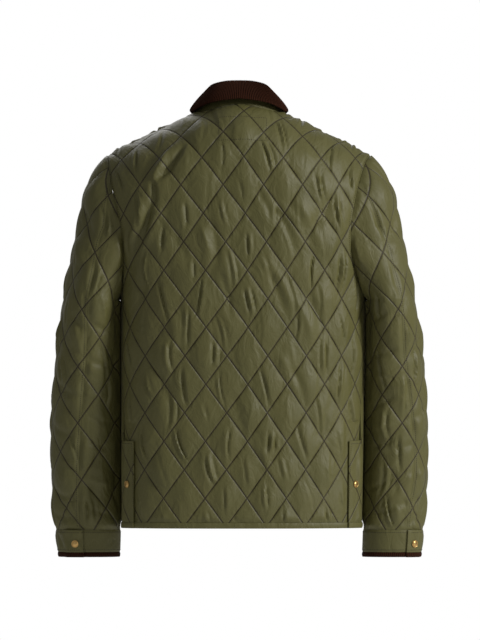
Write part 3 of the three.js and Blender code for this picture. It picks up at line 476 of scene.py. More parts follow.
def sew_in(piece, node, cut):
    """Puts a finished piece of cloth in its node's place. Its flat cut is not used."""
    put_in_place(piece, node)


def bind(strip, cloth_piece, node):
    """Puts a narrow strip in its node's place and sews it to the piece whose edge it binds."""
    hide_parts(node)
    strip.parent = cloth_piece


def linear(hex_colour):
    """An sRGB hex colour, turned linear."""
    channels = [int(hex_colour[i : i + 2], 16) / 255 for i in (1, 3, 5)]
    return [c / 12.92 if c <= 0.04045 else ((c + 0.055) / 1.055) ** 2.4 for c in channels] + [1]


def add_node(material, kind, inputs=None, **settings):
    """Adds a node with its settings. inputs gives each input's value, or the output that goes into it."""
    node = material.node_tree.nodes.new("ShaderNode" + kind)
    for name, value in settings.items():
        setattr(node, name, value)
    for name, value in (inputs or {}).items():
        if isinstance(value, bpy.types.NodeSocket):
            material.node_tree.links.new(value, node.inputs[name])
        else:
            node.inputs[name].default_value = value
    return node


def empty_material(name):
    material = bpy.data.materials.new(name)
    material.use_nodes = True
    material.node_tree.nodes.clear()
    return material


def finish_material(material, shader):
    output = add_node(material, "OutputMaterial")
    material.node_tree.links.new(shader.outputs["BSDF"], output.inputs["Surface"])
    return material


SHELL_COLOUR = ("#53512a", "#5e5a30")
# The thread's own colour, which is also painted beside each stitch line as shade.
THREAD_AND_PAINTED_SHADE_COLOUR = "#2b220c"
# Half the width of a stitch line, its solid middle, and the length of a stitch. Real thread is 0.4 mm
# thick. It is drawn wider, with painted shade beside it, so that it shows.
THREAD = 1.15
THREAD_CORE = 0.45
NEEDLE_PITCH = 3.6
# The cloth's patterns: how many to a millimetre, and how high they stand in millimetres
WEAVE = {"per_mm": 0.26, "height": 0.02, "wander": 0.6}
CRUMPLES = {"per_mm": 0.05, "height": 2.4, "upright": 0.55, "wander": 1.0}
WRINKLES = {"per_mm": 0.16, "height": 0.25, "wander": 1.4}
PUCKERS = {"per_mm": 0.22, "height": 1.1, "reach": 12, "drawn_out": 0.12}
TINTS_PER_MM = 0.012
# The sunk groove beside a stitch line: its half width, its depth, and how much shade is painted over it.
GROOVE = {"half_width": 2.2, "depth": 0.7, "shade": 0.4}
NEEDLE_HOLE = {"share": 0.2, "thread_left": 0.6}
GLOSS = (0.5, 0.64)


def nylon(name, colour, stitched=True):
    """Olive nylon taffeta: a fine plain weave with a silky gloss that catches the light on each crease.
    Where it is quilted, a sunk line of matching thread gathers small puckers along it, and shade is painted
    into the cloth beside the line."""
    material = empty_material(name)
    place = add_node(material, "UVMap", uv_map="Cloth").outputs["UV"]
    diamonds = add_node(material, "SeparateXYZ", {"Vector": place})
    across, up = diamonds.outputs["X"], diamonds.outputs["Y"]
    diamond = (DIAMOND_WIDTH, DIAMOND_HEIGHT, 1)
    cloth = add_node(material, "VectorMath", {0: place, 1: diamond}, operation="MULTIPLY").outputs["Vector"]
    # Taffeta's threads, 0.25 mm apart, are drawn 1.2 mm apart so that they show.
    waves = {"Vector": cloth, "Scale": WEAVE["per_mm"], "Distortion": WEAVE["wander"], "Detail": 1.0}
    warp = add_node(material, "TexWave", waves).outputs["Fac"]
    weft = add_node(material, "TexWave", waves, bands_direction="Y").outputs["Fac"]
    weave = add_node(material, "Math", {0: warp, 1: weft}, operation="MULTIPLY").outputs[0]
    # Crumples of 10 to 30 mm, longer up the cloth than across it
    upright = {"Vector": cloth, "Scale": (1, CRUMPLES["upright"], 1)}
    stretched = add_node(material, "Mapping", upright).outputs["Vector"]
    crumple = add_node(material, "TexNoise", {
        "Vector": stretched, "Scale": CRUMPLES["per_mm"], "Detail": 3.0, "Roughness": 0.5,
        "Distortion": CRUMPLES["wander"],
    }).outputs["Fac"]
    wrinkle = add_node(material, "TexNoise", {
        "Vector": stretched, "Scale": WRINKLES["per_mm"], "Detail": 2.0, "Roughness": 0.5,
        "Distortion": WRINKLES["wander"],
    }).outputs["Fac"]
    tint = add_node(
        material, "TexNoise", {"Vector": cloth, "Scale": TINTS_PER_MM, "Detail": 2.0}).outputs["Fac"]
    dark, light = colour
    shade = add_node(
        material, "Mix", {"Factor": tint, "A": linear(dark), "B": linear(light)}, data_type="RGBA"
    ).outputs["Result"]
    height = add_node(material, "Math", {0: crumple, 1: CRUMPLES["height"]}, operation="MULTIPLY").outputs[0]
    for pattern, rise in ((wrinkle, WRINKLES["height"]), (weave, WEAVE["height"])):
        height = add_node(
            material, "Math", {0: pattern, 1: rise, 2: height}, operation="MULTIPLY_ADD").outputs[0]
    if stitched:
        between_lines = DIAMOND_WIDTH * DIAMOND_HEIGHT / math.hypot(DIAMOND_WIDTH, DIAMOND_HEIGHT)
        run = math.hypot(DIAMOND_WIDTH, DIAMOND_HEIGHT) / 2
        grooves, threads = [], []
        for across_lines, along_lines in (("ADD", "SUBTRACT"), ("SUBTRACT", "ADD")):
            line = add_node(material, "Math", {0: across, 1: up}, operation=across_lines).outputs[0]
            nearest = add_node(material, "Math", {0: line}, operation="ROUND").outputs[0]
            off = add_node(material, "Math", {0: line, 1: nearest}, operation="SUBTRACT").outputs[0]
            off = add_node(material, "Math", {0: off}, operation="ABSOLUTE").outputs[0]
            aside = add_node(material, "Math", {0: off, 1: between_lines}, operation="MULTIPLY").outputs[0]
            along = add_node(material, "Math", {0: across, 1: up}, operation=along_lines).outputs[0]
            along = add_node(material, "Math", {0: along, 1: run}, operation="MULTIPLY").outputs[0]
            drawn_out = add_node(
                material, "Math", {0: aside, 1: PUCKERS["drawn_out"]}, operation="MULTIPLY").outputs[0]
            beside = add_node(material, "CombineXYZ", {"X": along, "Y": drawn_out}).outputs["Vector"]
            pucker = add_node(
                material, "TexNoise", {"Vector": beside, "Scale": PUCKERS["per_mm"], "Detail": 2.0}
            ).outputs["Fac"]
            near = add_node(
                material, "MapRange",
                {"Value": aside, "From Max": PUCKERS["reach"], "To Min": 1, "To Max": 0},
                interpolation_type="SMOOTHSTEP",
            ).outputs["Result"]
            gathered = add_node(material, "Math", {0: near, 1: pucker}, operation="MULTIPLY").outputs[0]
            height = add_node(
                material, "Math", {0: gathered, 1: PUCKERS["height"], 2: height}, operation="MULTIPLY_ADD"
            ).outputs[0]
            grooves.append(add_node(
                material, "MapRange",
                {"Value": aside, "From Max": GROOVE["half_width"], "To Min": 1, "To Max": 0},
                interpolation_type="SMOOTHSTEP",
            ).outputs["Result"])
            laid = add_node(
                material, "MapRange",
                {
                    "Value": aside, "From Min": THREAD * THREAD_CORE, "From Max": THREAD,
                    "To Min": 1, "To Max": 0,
                },
                interpolation_type="SMOOTHSTEP",
            ).outputs["Result"]
            from_hole = add_node(
                material, "Math", {0: along, 1: NEEDLE_PITCH / 2}, operation="PINGPONG").outputs[0]
            shown = add_node(
                material, "MapRange",
                {
                    "Value": from_hole, "From Max": NEEDLE_PITCH * NEEDLE_HOLE["share"],
                    "To Min": NEEDLE_HOLE["thread_left"],
                },
                interpolation_type="SMOOTHSTEP",
            ).outputs["Result"]
            threads.append(add_node(material, "Math", {0: laid, 1: shown}, operation="MULTIPLY").outputs[0])
        groove, thread = (
            add_node(material, "Math", {0: one, 1: other}, operation="MAXIMUM").outputs[0]
            for one, other in (grooves, threads)
        )
        height = add_node(
            material, "Math", {0: groove, 1: -GROOVE["depth"], 2: height}, operation="MULTIPLY_ADD"
        ).outputs[0]
        # Beside a line the gathered cloth slopes into the groove; shade is painted into its colour there.
        painted_groove_shade = add_node(material, "Math", {0: groove, 1: GROOVE["shade"]}, operation="MULTIPLY").outputs[0]
        for cover in (painted_groove_shade, thread):
            shade = add_node(
                material, "Mix", {"Factor": cover, "A": shade, "B": linear(THREAD_AND_PAINTED_SHADE_COLOUR)}, data_type="RGBA"
            ).outputs["Result"]
    bump = add_node(material, "Bump", {"Height": height, "Strength": 1.0, "Distance": MM}).outputs["Normal"]
    glossiest, dullest = GLOSS
    gloss = add_node(
        material, "MapRange", {"Value": wrinkle, "To Min": glossiest, "To Max": dullest}).outputs["Result"]
    return finish_material(material, add_node(material, "BsdfPrincipled", {
        "Base Color": shade, "Roughness": gloss, "Normal": bump, "IOR": 1.45,
        "Sheen Weight": 0.03, "Sheen Roughness": 0.4,
    }))


quilted_nylon = nylon("quilted_nylon_taffeta", SHELL_COLOUR)
plain_nylon = nylon("plain_nylon_taffeta", SHELL_COLOUR, stitched=False)

# The back
# One piece from side seam to side seam, up to the shoulder seams and the neck. Its lower corners lie
# under the fronts' vent flaps. It was quilted before it was cut, and the right half is eased in.
PRESSED = (1, 12)
ABOVE_UNDERARM = 1.6
# Across, up, then the same for the far end, with the half width and the height
BACK_CREASES = [
    (91, -40, 146, -115, 5, -7.0),
    (120, -52, 152, -112, 5, 4.5),
    (106, -34, 160, -106, 8, 4.0),
    (146, -110, 150, -154, 5, -7.5),
    (150, -142, 197, -241, 5.5, -7.5),
    (166, -140, 204, -222, 7, 5.0),
    (134, -140, 180, -236, 9, 4.0),
    (172, -262, 186, -330, 9, -2.6),
    (120, -190, 92, -262, 9, -2.2),
    (-28, -120, -62, -190, 6, -2.4),
    (-60, -150, -100, -245, 7, -3.0),
    (-74, -140, -116, -240, 8, 2.4),
    (-95, -130, -150, -240, 9, 2.6),
    (-35, -250, -80, -350, 8, -3.0),
    (-52, -250, -96, -350, 8, 2.2),
    (-110, -290, -150, -380, 9, -3.2),
    (-88, -300, -132, -396, 8, 2.4),
    (-60, -400, -100, -480, 8, 2.8),
    (-82, -420, -120, -506, 7, -2.4),
    (40, -260, 22, -350, 6, -2.4),
    (70, -180, 60, -270, 7, 2.4),
    (52, -176, 44, -262, 6, -2.2),
    (110, -320, 100, -400, 8, -2.6),
    (126, -330, 118, -410, 8, 2.0),
    (-175, -130, -120, -200, 10, -3.4),
    (-190, -160, -150, -260, 10, 3.0),
    (150, -430, 120, -520, 9, -2.4),
    (-170, -470, -130, -560, 9, -2.6),
    (-30, -560, -62, -640, 8, 2.2),
    (20, -470, -4, -560, 8, -2.0),
    (70, -560, 52, -640, 8, 1.9),
]


def to_body_cloth(along):
    return along if along > 0 else along * RIGHT_BACK_EASE


def from_body_cloth(across):
    return across if across > 0 else across / RIGHT_BACK_EASE


def back_surface(along, up):
    return stand_at(back_column(along), up)


ARMHOLE_START = 90.0


def back_edge(side, up):
    sign = SIDES[side]
    up = np.asarray(up, float)
    lower = sign * (side_seam(side, np.minimum(up, ARMHOLE["bottom"])) - HALF_GAP)
    upper = armhole_edge(back_column, up, sign * ARMHOLE_START, sign * SIDE_SEAM_TOP[side])
    return np.where(up <= ARMHOLE["bottom"], lower, upper - sign * HALF_GAP)


def body_rows(last):
    """The heights of a body piece's rows, from its hem up."""
    first = math.ceil((HEM_Z + NEAR_EDGE - BODY_CROSSING[1]) / ROW)
    number = math.floor((last - NEAR_EDGE - BODY_CROSSING[1]) / ROW)
    heights = [HEM_Z] + [BODY_CROSSING[1] + i * ROW for i in range(first, number + 1)] + [last]
    return np.sort(heights + [ARMHOLE["bottom"] + ABOVE_UNDERARM])


NECK = {"half_width": 75, "back": 58, "front": 98}
SHOULDER_GAP = 0.02


def body_top(column, along, depth):
    """How far up a column a body piece ends: at the neck seam, or at the shoulder seam beside it."""
    x, y, start, length, _ = column(along)(0.0)
    inside = np.clip(1 - (x / NECK["half_width"]) ** 2, 0, 1)
    share = np.arccos(np.clip(depth * np.sqrt(inside) / np.abs(y), 0, 1)) / (math.pi / 2)
    return np.where(inside > 0, start + share * length, ridge_up(column(along)) - SHOULDER_GAP)


def body_rise(cloth, column, from_edge, table):
    """Quilting and creases, flattened along the seams and where body and sleeve press together."""
    _, _, _, _, pressed = column(cloth.along)(cloth.up)
    seam = smooth(from_edge, 0, SEAM_FLAT)
    free = seam * smooth(pressed, *PRESSED)
    return quilting(cloth.a, cloth.b) * free + creases(cloth.across, cloth.up, table) * seam


FLAT_PAST_FLAP = 5
back = Cloth(back_surface, BODY_CROSSING, to_body_cloth, from_body_cloth)
back_heights = body_rows(BACK_LAST_ROW)
back_left_edge, back_right_edge = back_edge("left", back_heights), back_edge("right", back_heights)
for up, left, right in zip(back_heights, back_right_edge, back_left_edge):
    back.row(float(up), float(left), float(right))
back.climb(lambda along: body_top(back_column, along, NECK["back"]))
for low, high in zip(back.rows, back.rows[1:]):
    back.join(low, high)
back.shape()
reach = np.where(
    back.along > 0,
    np.interp(back.up, back_heights, back_left_edge) - back.along,
    back.along - np.interp(back.up, back_heights, back_right_edge),
)
reach -= np.where(back.up < VENT["top"] + VENT["flap"], VENT["flap"] + FLAT_PAST_FLAP, 0)
from_edge = np.minimum.reduce([
    reach,
    back.up - HEM_Z,
    body_top(back_column, back.along, NECK["back"]) - back.up,
])
back_piece = back.finished(
    "quilted_back", quilted_nylon, body_rise(back, back_column, from_edge, BACK_CREASES)
)
sew_in(back_piece, "back", back.flat_cut())

# The two fronts
# Each front runs from its side seam to past the centre front, where the left one laps over the right.
# Below the vent's top its side edge carries on as a flap that laps over the back and snaps down.
OVERLAP = {"left": 19, "right": 15, "lift": 3.2, "ramp": 14, "from_end": 2}
FLAP_TURN = 1.5
FLAP_EDGE_HEIGHTS = [VENT["top"], VENT["top"] + FLAP_TURN]
# Where a flap starts to lift: how far above the vent, and how far in from its seam
FLAP_RISE = {"above": 60, "over": 56, "inside": (-30, -2)}
SHOULDER_SEARCH = (120.0, 260.0)
SHOULDER_FAN = 60
FRONT_CREASES = {
    "left": [
        (-170, -150, -120, -250, 9, -3.2),
        (-150, -330, -110, -430, 8, 2.7),
        (-90, -470, -130, -560, 8, -2.3),
        (-60, -180, -90, -260, 8, -2.3),
    ],
    "right": [
        (165, -160, 130, -240, 9, -3.2),
        (140, -300, 100, -400, 8, 2.7),
        (80, -430, 120, -530, 8, -2.5),
        (70, -150, 60, -240, 8, -2.2),
    ],
}


def front_along(side, distance, up):
    """A distance round from the centre back, measured from the centre front instead."""
    return distance - SIDES[side] * half_girth(side, up)


def front_seam(side, up):
    return front_along(side, SIDES[side] * side_seam(side, np.minimum(up, ARMHOLE["bottom"])), up)


def front_side_edge(side, up):
    sign, column = SIDES[side], FRONT_COLUMNS[side]
    up = np.asarray(up, float)
    seam = front_seam(side, up)
    lower = seam + sign * np.where(up <= VENT["top"], -VENT["flap"], HALF_GAP)
    start = np.full_like(up, -sign * ARMHOLE_START)
    end = front_along(side, sign * SIDE_SEAM_TOP[side], up)
    upper = armhole_edge(column, up, start, end) + sign * HALF_GAP
    return np.where(up > ARMHOLE["bottom"], upper, lower)


def front_lift(side, along, up):
    """How far a front lifts off the body's form where it laps over the back and the other front."""
    inside = (front_seam(side, up) - along) * SIDES[side]
    below = VENT["top"] + FLAP_RISE["above"] - up
    at_vent = smooth(below, 0, FLAP_RISE["over"]) * smooth(inside, *FLAP_RISE["inside"])
    lift = VENT["lift"] * at_vent
    if side == "left":
        start, end = -OVERLAP["right"] - OVERLAP["ramp"], -OVERLAP["right"] - OVERLAP["from_end"]
        lift = lift + OVERLAP["lift"] * smooth(along, start, end)
    return lift


def front_ends(side, up):
    ends = [front_side_edge(side, up), np.full_like(up, SIDES[side] * float(OVERLAP[side]))]
    return ends if side == "left" else ends[::-1]


def shoulder_point(column, start, end):
    """Where a piece's shoulder seam runs into the armhole."""
    return turning_point(start, end, lambda along: stand_at(
        column(along), ridge_up(column(along)))[..., 2] > ARMHOLE["top"])


front_pieces = {}
for side, sign in SIDES.items():
    column = FRONT_COLUMNS[side]
    front = Cloth(lambda along, up: stand_at(column(along), up), (0, BODY_CROSSING[1]))
    heights = body_rows(FRONT_LAST_ROW)
    heights = np.sort(np.append(heights[np.abs(heights - VENT["top"]) > 1], FLAP_EDGE_HEIGHTS))
    starts, stops = front_ends(side, heights)
    for up, start, stop in zip(heights, starts, stops):
        front.row(float(up), float(start), float(stop))
    outer_end = float(front_side_edge(side, FRONT_LAST_ROW))
    shoulder = float(shoulder_point(column, *(-sign * reach for reach in SHOULDER_SEARCH)))
    front.climb(
        lambda along: body_top(column, along, NECK["front"]),
        lambda along: (shoulder - outer_end) * smooth(
            np.abs(along), abs(outer_end) - SHOULDER_FAN, abs(outer_end)),
    )
    for low, high in zip(front.rows, front.rows[1:]):
        front.join(low, high)
    front.shape()
    side_edges = np.interp(front.up, heights, starts if side == "left" else stops)
    from_side = np.abs(front.along - side_edges) - np.where(front.up <= VENT["top"], VENT["flap"] / 2, 0)
    from_edge = np.minimum.reduce([
        from_side,
        np.abs(front.along - sign * OVERLAP[side]) - 2 * OVERLAP["left"],
        front.up - HEM_Z,
        body_top(column, front.along, NECK["front"]) - front.up,
    ])
    front_pieces[side] = front.finished(
        f"quilted_front_{side}", quilted_nylon,
        body_rise(front, column, from_edge, FRONT_CREASES[side]),
        front_lift(side, front.along, front.up),
    )
    sew_in(front_pieces[side], f"front_{side}", front.flat_cut())

# The hem's binding
# A strip of the plain nylon, folded over the hem and stitched through, 10 mm deep all round.
HEM_BINDING = {"bottom": -702, "rise": 0.8, "roll": 0.9, "rows": 5}
PUCKER = {"height": 0.25, "length": 7.3}
BINDING_STEP = 6


def hem_binding(name, node, bound, surface, start, stop, lift=None):
    strip = Cloth(surface)
    for up in np.linspace(HEM_BINDING["bottom"], HEM_Z - SEAM_GAP, HEM_BINDING["rows"]):
        strip.row(float(up), start, stop, step=BINDING_STEP)
    for low, high in zip(strip.rows, strip.rows[1:]):
        strip.join(low, high)
    strip.shape()
    middle = (HEM_BINDING["bottom"] + HEM_Z) / 2
    roll = 1 - ((strip.up - middle) / (HEM_Z - middle)) ** 2
    rise = HEM_BINDING["rise"] + HEM_BINDING["roll"] * np.clip(roll, 0, 1)
    rise = rise + PUCKER["height"] * np.sin(strip.along / PUCKER["length"]) * roll
    lifted = 0.0 if lift is None else lift(strip.along, strip.up)
    bind(strip.finished(name, plain_nylon, rise, lifted), bound, node)


hem_binding("hem_strip_back", "hem_binding_back", back_piece, back_surface,
            float(back_edge("right", HEM_Z)), float(back_edge("left", HEM_Z)))
for side, column in FRONT_COLUMNS.items():
    start, stop = front_ends(side, np.array([float(HEM_Z)]))
    hem_binding(
        f"hem_strip_front_{side}", f"hem_binding_front_{side}", front_pieces[side],
        lambda along, up: stand_at(column(along), up), float(start[0]), float(stop[0]),
        lambda along, up: front_lift(side, along, up),
    )

# The sleeves
# Two-piece sleeves of the same quilting, hanging with a slight bend. The top sleeve is the outer half
# and ends in the sleeve head; the under sleeve is hollowed for the underarm. Both meet in a back seam.
SLEEVE_RINGS = {
    # height, outer edge, inner edge, half depth, middle of the depth
    "left": np.array([
        (-311, 298, 208, 77, 5),
        (-350, 304, 205.5, 77, -4),
        (-400, 310.5, 204, 74, -14),
        (-500, 319, 203, 68, -26),
        (-600, 320.5, 203, 60, -34),
        (-700, 313.5, 203.5, 50, -38),
        (-760, 308, 205, 45, -39),
    ], float),
    "right": np.array([
        (-311, 298.5, 222, 77, 5),
        (-350, 305.5, 220, 77, -4),
        (-400, 312, 218.5, 74, -14),
        (-500, 320, 216, 68, -26),
        (-600, 321, 215, 60, -34),
        (-700, 315, 213.5, 50, -38),
        (-760, 311, 211.5, 45, -39),
    ], float),
}
OUTER, INNER, HALF_DEPTH, CENTRE_Y = 1, 2, 3, 4
SLEEVE_CAP = {"slope": 0.195, "line_at": 265.5, "line_z": -142, "shortfall": 27, "rounding": 75}
SLEEVE_SEAM = {
    # height, share of the way from the middle of the back to the outer edge
    "left": np.array([
        (-110, 0), (-150, 0.25), (-208, 0.35), (-283, 0.18), (-386, 0.05),
        (-487, 0.1), (-600, 0.19), (-700, 0.25), (-760, 0.15),
    ], float),
    "right": np.array([
        (-110, 0), (-150, 0.4), (-207, 0.58), (-273, 0.5), (-393, 0.33),
        (-487, 0.47), (-600, 0.6), (-663, 0.5), (-760, 0.38),
    ], float),
}
SLEEVE_CROSSING = (13, -426)
FRONT_SEAM_ANGLE = math.radians(112)
BACK_HORN_TIP = -112
ARMHOLE_GAP = 0.35
UNDERARM_EASE = 0.4
UNDERARM_HEIGHT = 25
LEAST_DEPTH = 1e-6
SETTLING = 39
SLEEVE_PRESSED = (1, 14)
CAP_TOP_ROWS = (4, 2)
# How far round the body the armhole is looked for: past the side seam at the back and in front
PAST_SEAM = {"back": 1, "front": 40}
PAST_FRONT = 450
SLEEVE_POWER = 0.93
SLEEVE_STEPS = 120
CUFF_TOP = -706
SLEEVE_ANGLES = np.linspace(0, math.pi, SLEEVE_STEPS + 1)
SLEEVE_CREASES = {
    # distance towards the back from the outer edge, height; then the same for the far end
    "left": [
        (62, -640, 74, -702, 4, -2.6), (88, -650, 84, -700, 4, -2.2), (100, -662, 92, -700, 4, 2.0),
        (46, -655, 64, -702, 4, -2.0), (110, -600, 98, -664, 6, -2.2), (80, -270, 104, -350, 7, -2.8),
        (100, -350, 150, -368, 5, -2.4), (95, -410, 150, -428, 5, -2.4), (90, -470, 150, -478, 5, 2.0),
        (95, -505, 150, -525, 5, -2.4), (100, -555, 150, -566, 5, -2.0), (90, -615, 145, -628, 5, 2.0),
        (85, -665, 135, -684, 5, -2.2),
        (30, -150, 90, -215, 8, -3.8), (20, -190, 85, -265, 8, 3.0), (60, -330, 110, -375, 7, -3.2),
        (10, -350, 60, -400, 8, 2.7), (70, -400, 120, -440, 7, 2.6), (30, -450, 95, -480, 7, -3.4),
        (20, -520, 90, -548, 7, -2.9), (45, -585, 110, -600, 6, 2.6), (25, -640, 95, -655, 6, -3.0),
        (15, -675, 80, -690, 5, -2.4), (-60, -260, -20, -360, 9, -2.9), (-90, -420, -30, -480, 8, -2.9),
        (-80, -560, -20, -600, 8, 2.6), (150, -400, 190, -470, 8, -2.6), (150, -560, 200, -600, 7, -2.2),
    ],
    "right": [
        (40, -640, 52, -700, 4, -2.4), (70, -648, 62, -700, 4, -2.2), (84, -660, 72, -701, 4, 1.9),
        (25, -652, 42, -700, 4, -1.8), (96, -600, 84, -656, 6, -2.2), (70, -240, 96, -320, 7, -2.8),
        (100, -330, 150, -352, 5, -2.8), (90, -395, 150, -410, 5, -3.0), (80, -430, 140, -446, 5, 2.4),
        (95, -475, 150, -500, 5, -3.0), (85, -520, 150, -530, 5, 2.4), (90, -548, 150, -566, 5, -3.0),
        (80, -590, 140, -600, 5, 2.2), (90, -615, 145, -640, 5, -2.8), (80, -668, 130, -680, 5, -2.4),
        (25, -160, 80, -225, 8, -3.8), (15, -215, 60, -285, 8, 3.0), (60, -300, 105, -350, 7, -3.0),
        (20, -370, 80, -415, 7, -3.2), (45, -440, 115, -462, 7, 2.9), (20, -490, 85, -520, 7, -3.0),
        (55, -555, 115, -570, 6, -3.0), (20, -600, 90, -622, 7, 2.7), (35, -650, 100, -664, 6, -2.7),
        (20, -684, 75, -694, 5, -2.2), (-60, -250, -20, -350, 9, -2.9), (-90, -430, -30, -490, 8, -2.9),
        (-80, -570, -20, -610, 8, 2.6), (150, -410, 190, -480, 8, -2.6), (150, -550, 200, -590, 7, -2.2),
    ],
}


def signed_power(value):
    return np.sign(value) * np.abs(value) ** SLEEVE_POWER


def armhole_x(side, z, is_back):
    sign = SIDES[side]
    depth = armhole_centre(z) + (1 if is_back else -1) * armhole_half_depth(z)
    start, stop = SIDE_SEAM_TOP[side] - PAST_SEAM["front"], PAST_FRONT
    if is_back:
        start, stop = ARMHOLE_START, SIDE_SEAM_TOP[side] + PAST_SEAM["back"]
    low = smooth(ARMHOLE["bottom"] + UNDERARM_HEIGHT - z, 0, UNDERARM_HEIGHT)
    along = distance_at_depth(sign, z, depth, start, stop)
    return np.abs(body_at_height(sign * along, z)[..., 0]) + ARMHOLE_GAP + UNDERARM_EASE * low


class SleeveRing:
    """The sleeve's ring at each height: an oval, of which the armhole cuts away the inner part."""

    def __init__(self, side, z):
        self.z = z = np.atleast_1d(np.asarray(z, float))
        table = SLEEVE_RINGS[side]
        is_cap = z > ARMHOLE["bottom"]
        below_top = ARMHOLE["top"] - z
        short = SLEEVE_CAP["shortfall"] * np.maximum(0, 1 - below_top / SLEEVE_CAP["rounding"]) ** 2
        cap_outer = SLEEVE_CAP["line_at"] + SLEEVE_CAP["slope"] * (SLEEVE_CAP["line_z"] - z) - short
        self.outer = np.where(is_cap, cap_outer, read(table, OUTER, z))
        cut = armhole_half_depth(z)
        share = (z - ARMHOLE_MIDDLE) / (ARMHOLE["bottom"] - ARMHOLE_MIDDLE)
        widened = ARMHOLE["half_depth"] + (table[0, HALF_DEPTH] - ARMHOLE["half_depth"]) * share
        cap_depth = np.where(z > ARMHOLE_MIDDLE, cut, np.maximum(cut, widened))
        self.half_depth = np.where(is_cap, cap_depth, read(table, HALF_DEPTH, z))
        self.centre_y = np.where(is_cap, armhole_centre(z), read(table, CENTRE_Y, z))
        sine = np.clip(cut / np.maximum(cap_depth, LEAST_DEPTH), 0, 1) ** (1 / SLEEVE_POWER)
        cap_end = np.where(z > ARMHOLE_MIDDLE, math.pi / 2, math.pi - np.arcsin(sine))
        cosine = -np.abs(np.cos(cap_end)) ** SLEEVE_POWER
        settle = smooth(ARMHOLE["bottom"] - z, 0, SETTLING)
        bottom = armhole_x(side, np.full(1, float(ARMHOLE["bottom"])), True)
        inner = bottom + (read(table, INNER, z) - bottom) * settle
        self.end, self.centre, self.walk = {}, {}, {}
        for face, is_back in (("back", True), ("front", False)):
            cap_centre = (armhole_x(side, z, is_back) - self.outer * cosine) / (1 - cosine)
            self.end[face] = np.where(is_cap, cap_end, math.pi)
            self.centre[face] = np.where(is_cap, cap_centre, (self.outer + inner) / 2)
            x, y = self.place(face, SLEEVE_ANGLES[None, :])
            steps = np.hypot(np.diff(x, axis=1), np.diff(y, axis=1))
            self.walk[face] = np.concatenate([np.zeros((len(z), 1)), np.cumsum(steps, axis=1)], axis=1)

    def place(self, face, angle):
        centre, outer = self.centre[face][:, None], self.outer[:, None]
        x = centre + (outer - centre) * signed_power(np.cos(angle))
        way = 1 if face == "back" else -1
        return x, self.centre_y[:, None] + way * self.half_depth[:, None] * signed_power(np.sin(angle))

    def cut_at(self, face, angle):
        """How far along the cloth an angle lies, or the armhole where that comes first."""
        angle = np.minimum(np.broadcast_to(angle, self.z.shape), self.end[face])
        return np.array([np.interp(a, SLEEVE_ANGLES, walk) for a, walk in zip(angle, self.walk[face])])

    def girth(self):
        return self.walk["back"][:, -1] + self.walk["front"][:, -1]


def sleeve_surface(side):
    """Places on a sleeve: round from its outer edge, and up. The left sleeve's cloth runs the other way."""
    sign = SIDES[side]

    def surface(along, up):
        distance = np.asarray(along, float) * -sign
        heights, which = np.unique(up, return_inverse=True)
        ring = SleeveRing(side, heights)
        back_walk, front_walk = ring.walk["back"][:, -1][which], ring.walk["front"][:, -1][which]
        is_back = distance >= 0
        reach = np.abs(distance)
        past = reach > np.where(is_back, back_walk, front_walk)
        reach = np.where(past, back_walk + front_walk - reach, reach)
        is_back = is_back != past
        x, y = np.empty(len(distance)), np.empty(len(distance))
        for number in range(len(heights)):
            for face, on_face in (("back", is_back), ("front", ~is_back)):
                here = (which == number) & on_face
                angle = np.interp(reach[here], ring.walk[face][number], SLEEVE_ANGLES)
                centre, outer = ring.centre[face][number], ring.outer[number]
                x[here] = centre + (outer - centre) * signed_power(np.cos(angle))
                way = 1 if face == "back" else -1
                y[here] = ring.centre_y[number] + way * ring.half_depth[number] * signed_power(np.sin(angle))
        return np.stack([sign * x, y, np.asarray(up, float)], -1)

    return surface


def back_seam_angle(side, z):
    return np.arccos(np.maximum(read(SLEEVE_SEAM[side], 1, z), 0) ** (1 / SLEEVE_POWER))


def ordered(side, one, other):
    """Two distances towards the back as distances along the cloth, the lower one first."""
    one, other = -SIDES[side] * np.asarray(one), -SIDES[side] * np.asarray(other)
    return np.minimum(one, other), np.maximum(one, other)


def sleeve_heights(bottom, top):
    first = math.ceil((bottom + NEAR_EDGE - SLEEVE_CROSSING[1]) / ROW)
    last = math.floor((top - NEAR_EDGE - SLEEVE_CROSSING[1]) / ROW)
    return np.array([bottom] + [SLEEVE_CROSSING[1] + i * ROW for i in range(first, last + 1)] + [top], float)


def sleeve_rise(side, cloth, from_edge):
    ring = SleeveRing(side, np.unique(cloth.up))
    inner = np.interp(cloth.up, ring.z, 2 * ring.centre["back"] - ring.outer)
    pressed = smooth(np.abs(cloth.place[:, 0]) - inner, *SLEEVE_PRESSED)
    seam = smooth(np.minimum(from_edge, cloth.up - CUFF_TOP), 0, SEAM_FLAT)
    free = np.where(cloth.up < ARMHOLE["bottom"], pressed, 1)
    towards_back = cloth.along * -SIDES[side]
    wrinkles = creases(towards_back, cloth.up, SLEEVE_CREASES[side])
    return quilting(cloth.a, cloth.b) * seam * free + wrinkles * seam * free


PRESS = {"half_depth": 70, "bottom": -700, "reach": 14, "left": 0.3, "fade_up": 4, "fade_down": 20}
SIDE_SEARCH = (150, 400)


def body_side(side, depth, z):
    """How far out the body's side stands at a depth and height."""
    sign = SIDES[side]
    along = distance_at_depth(sign, z, depth, *SIDE_SEARCH)
    return np.abs(body_at_height(sign * along, z)[..., 0])


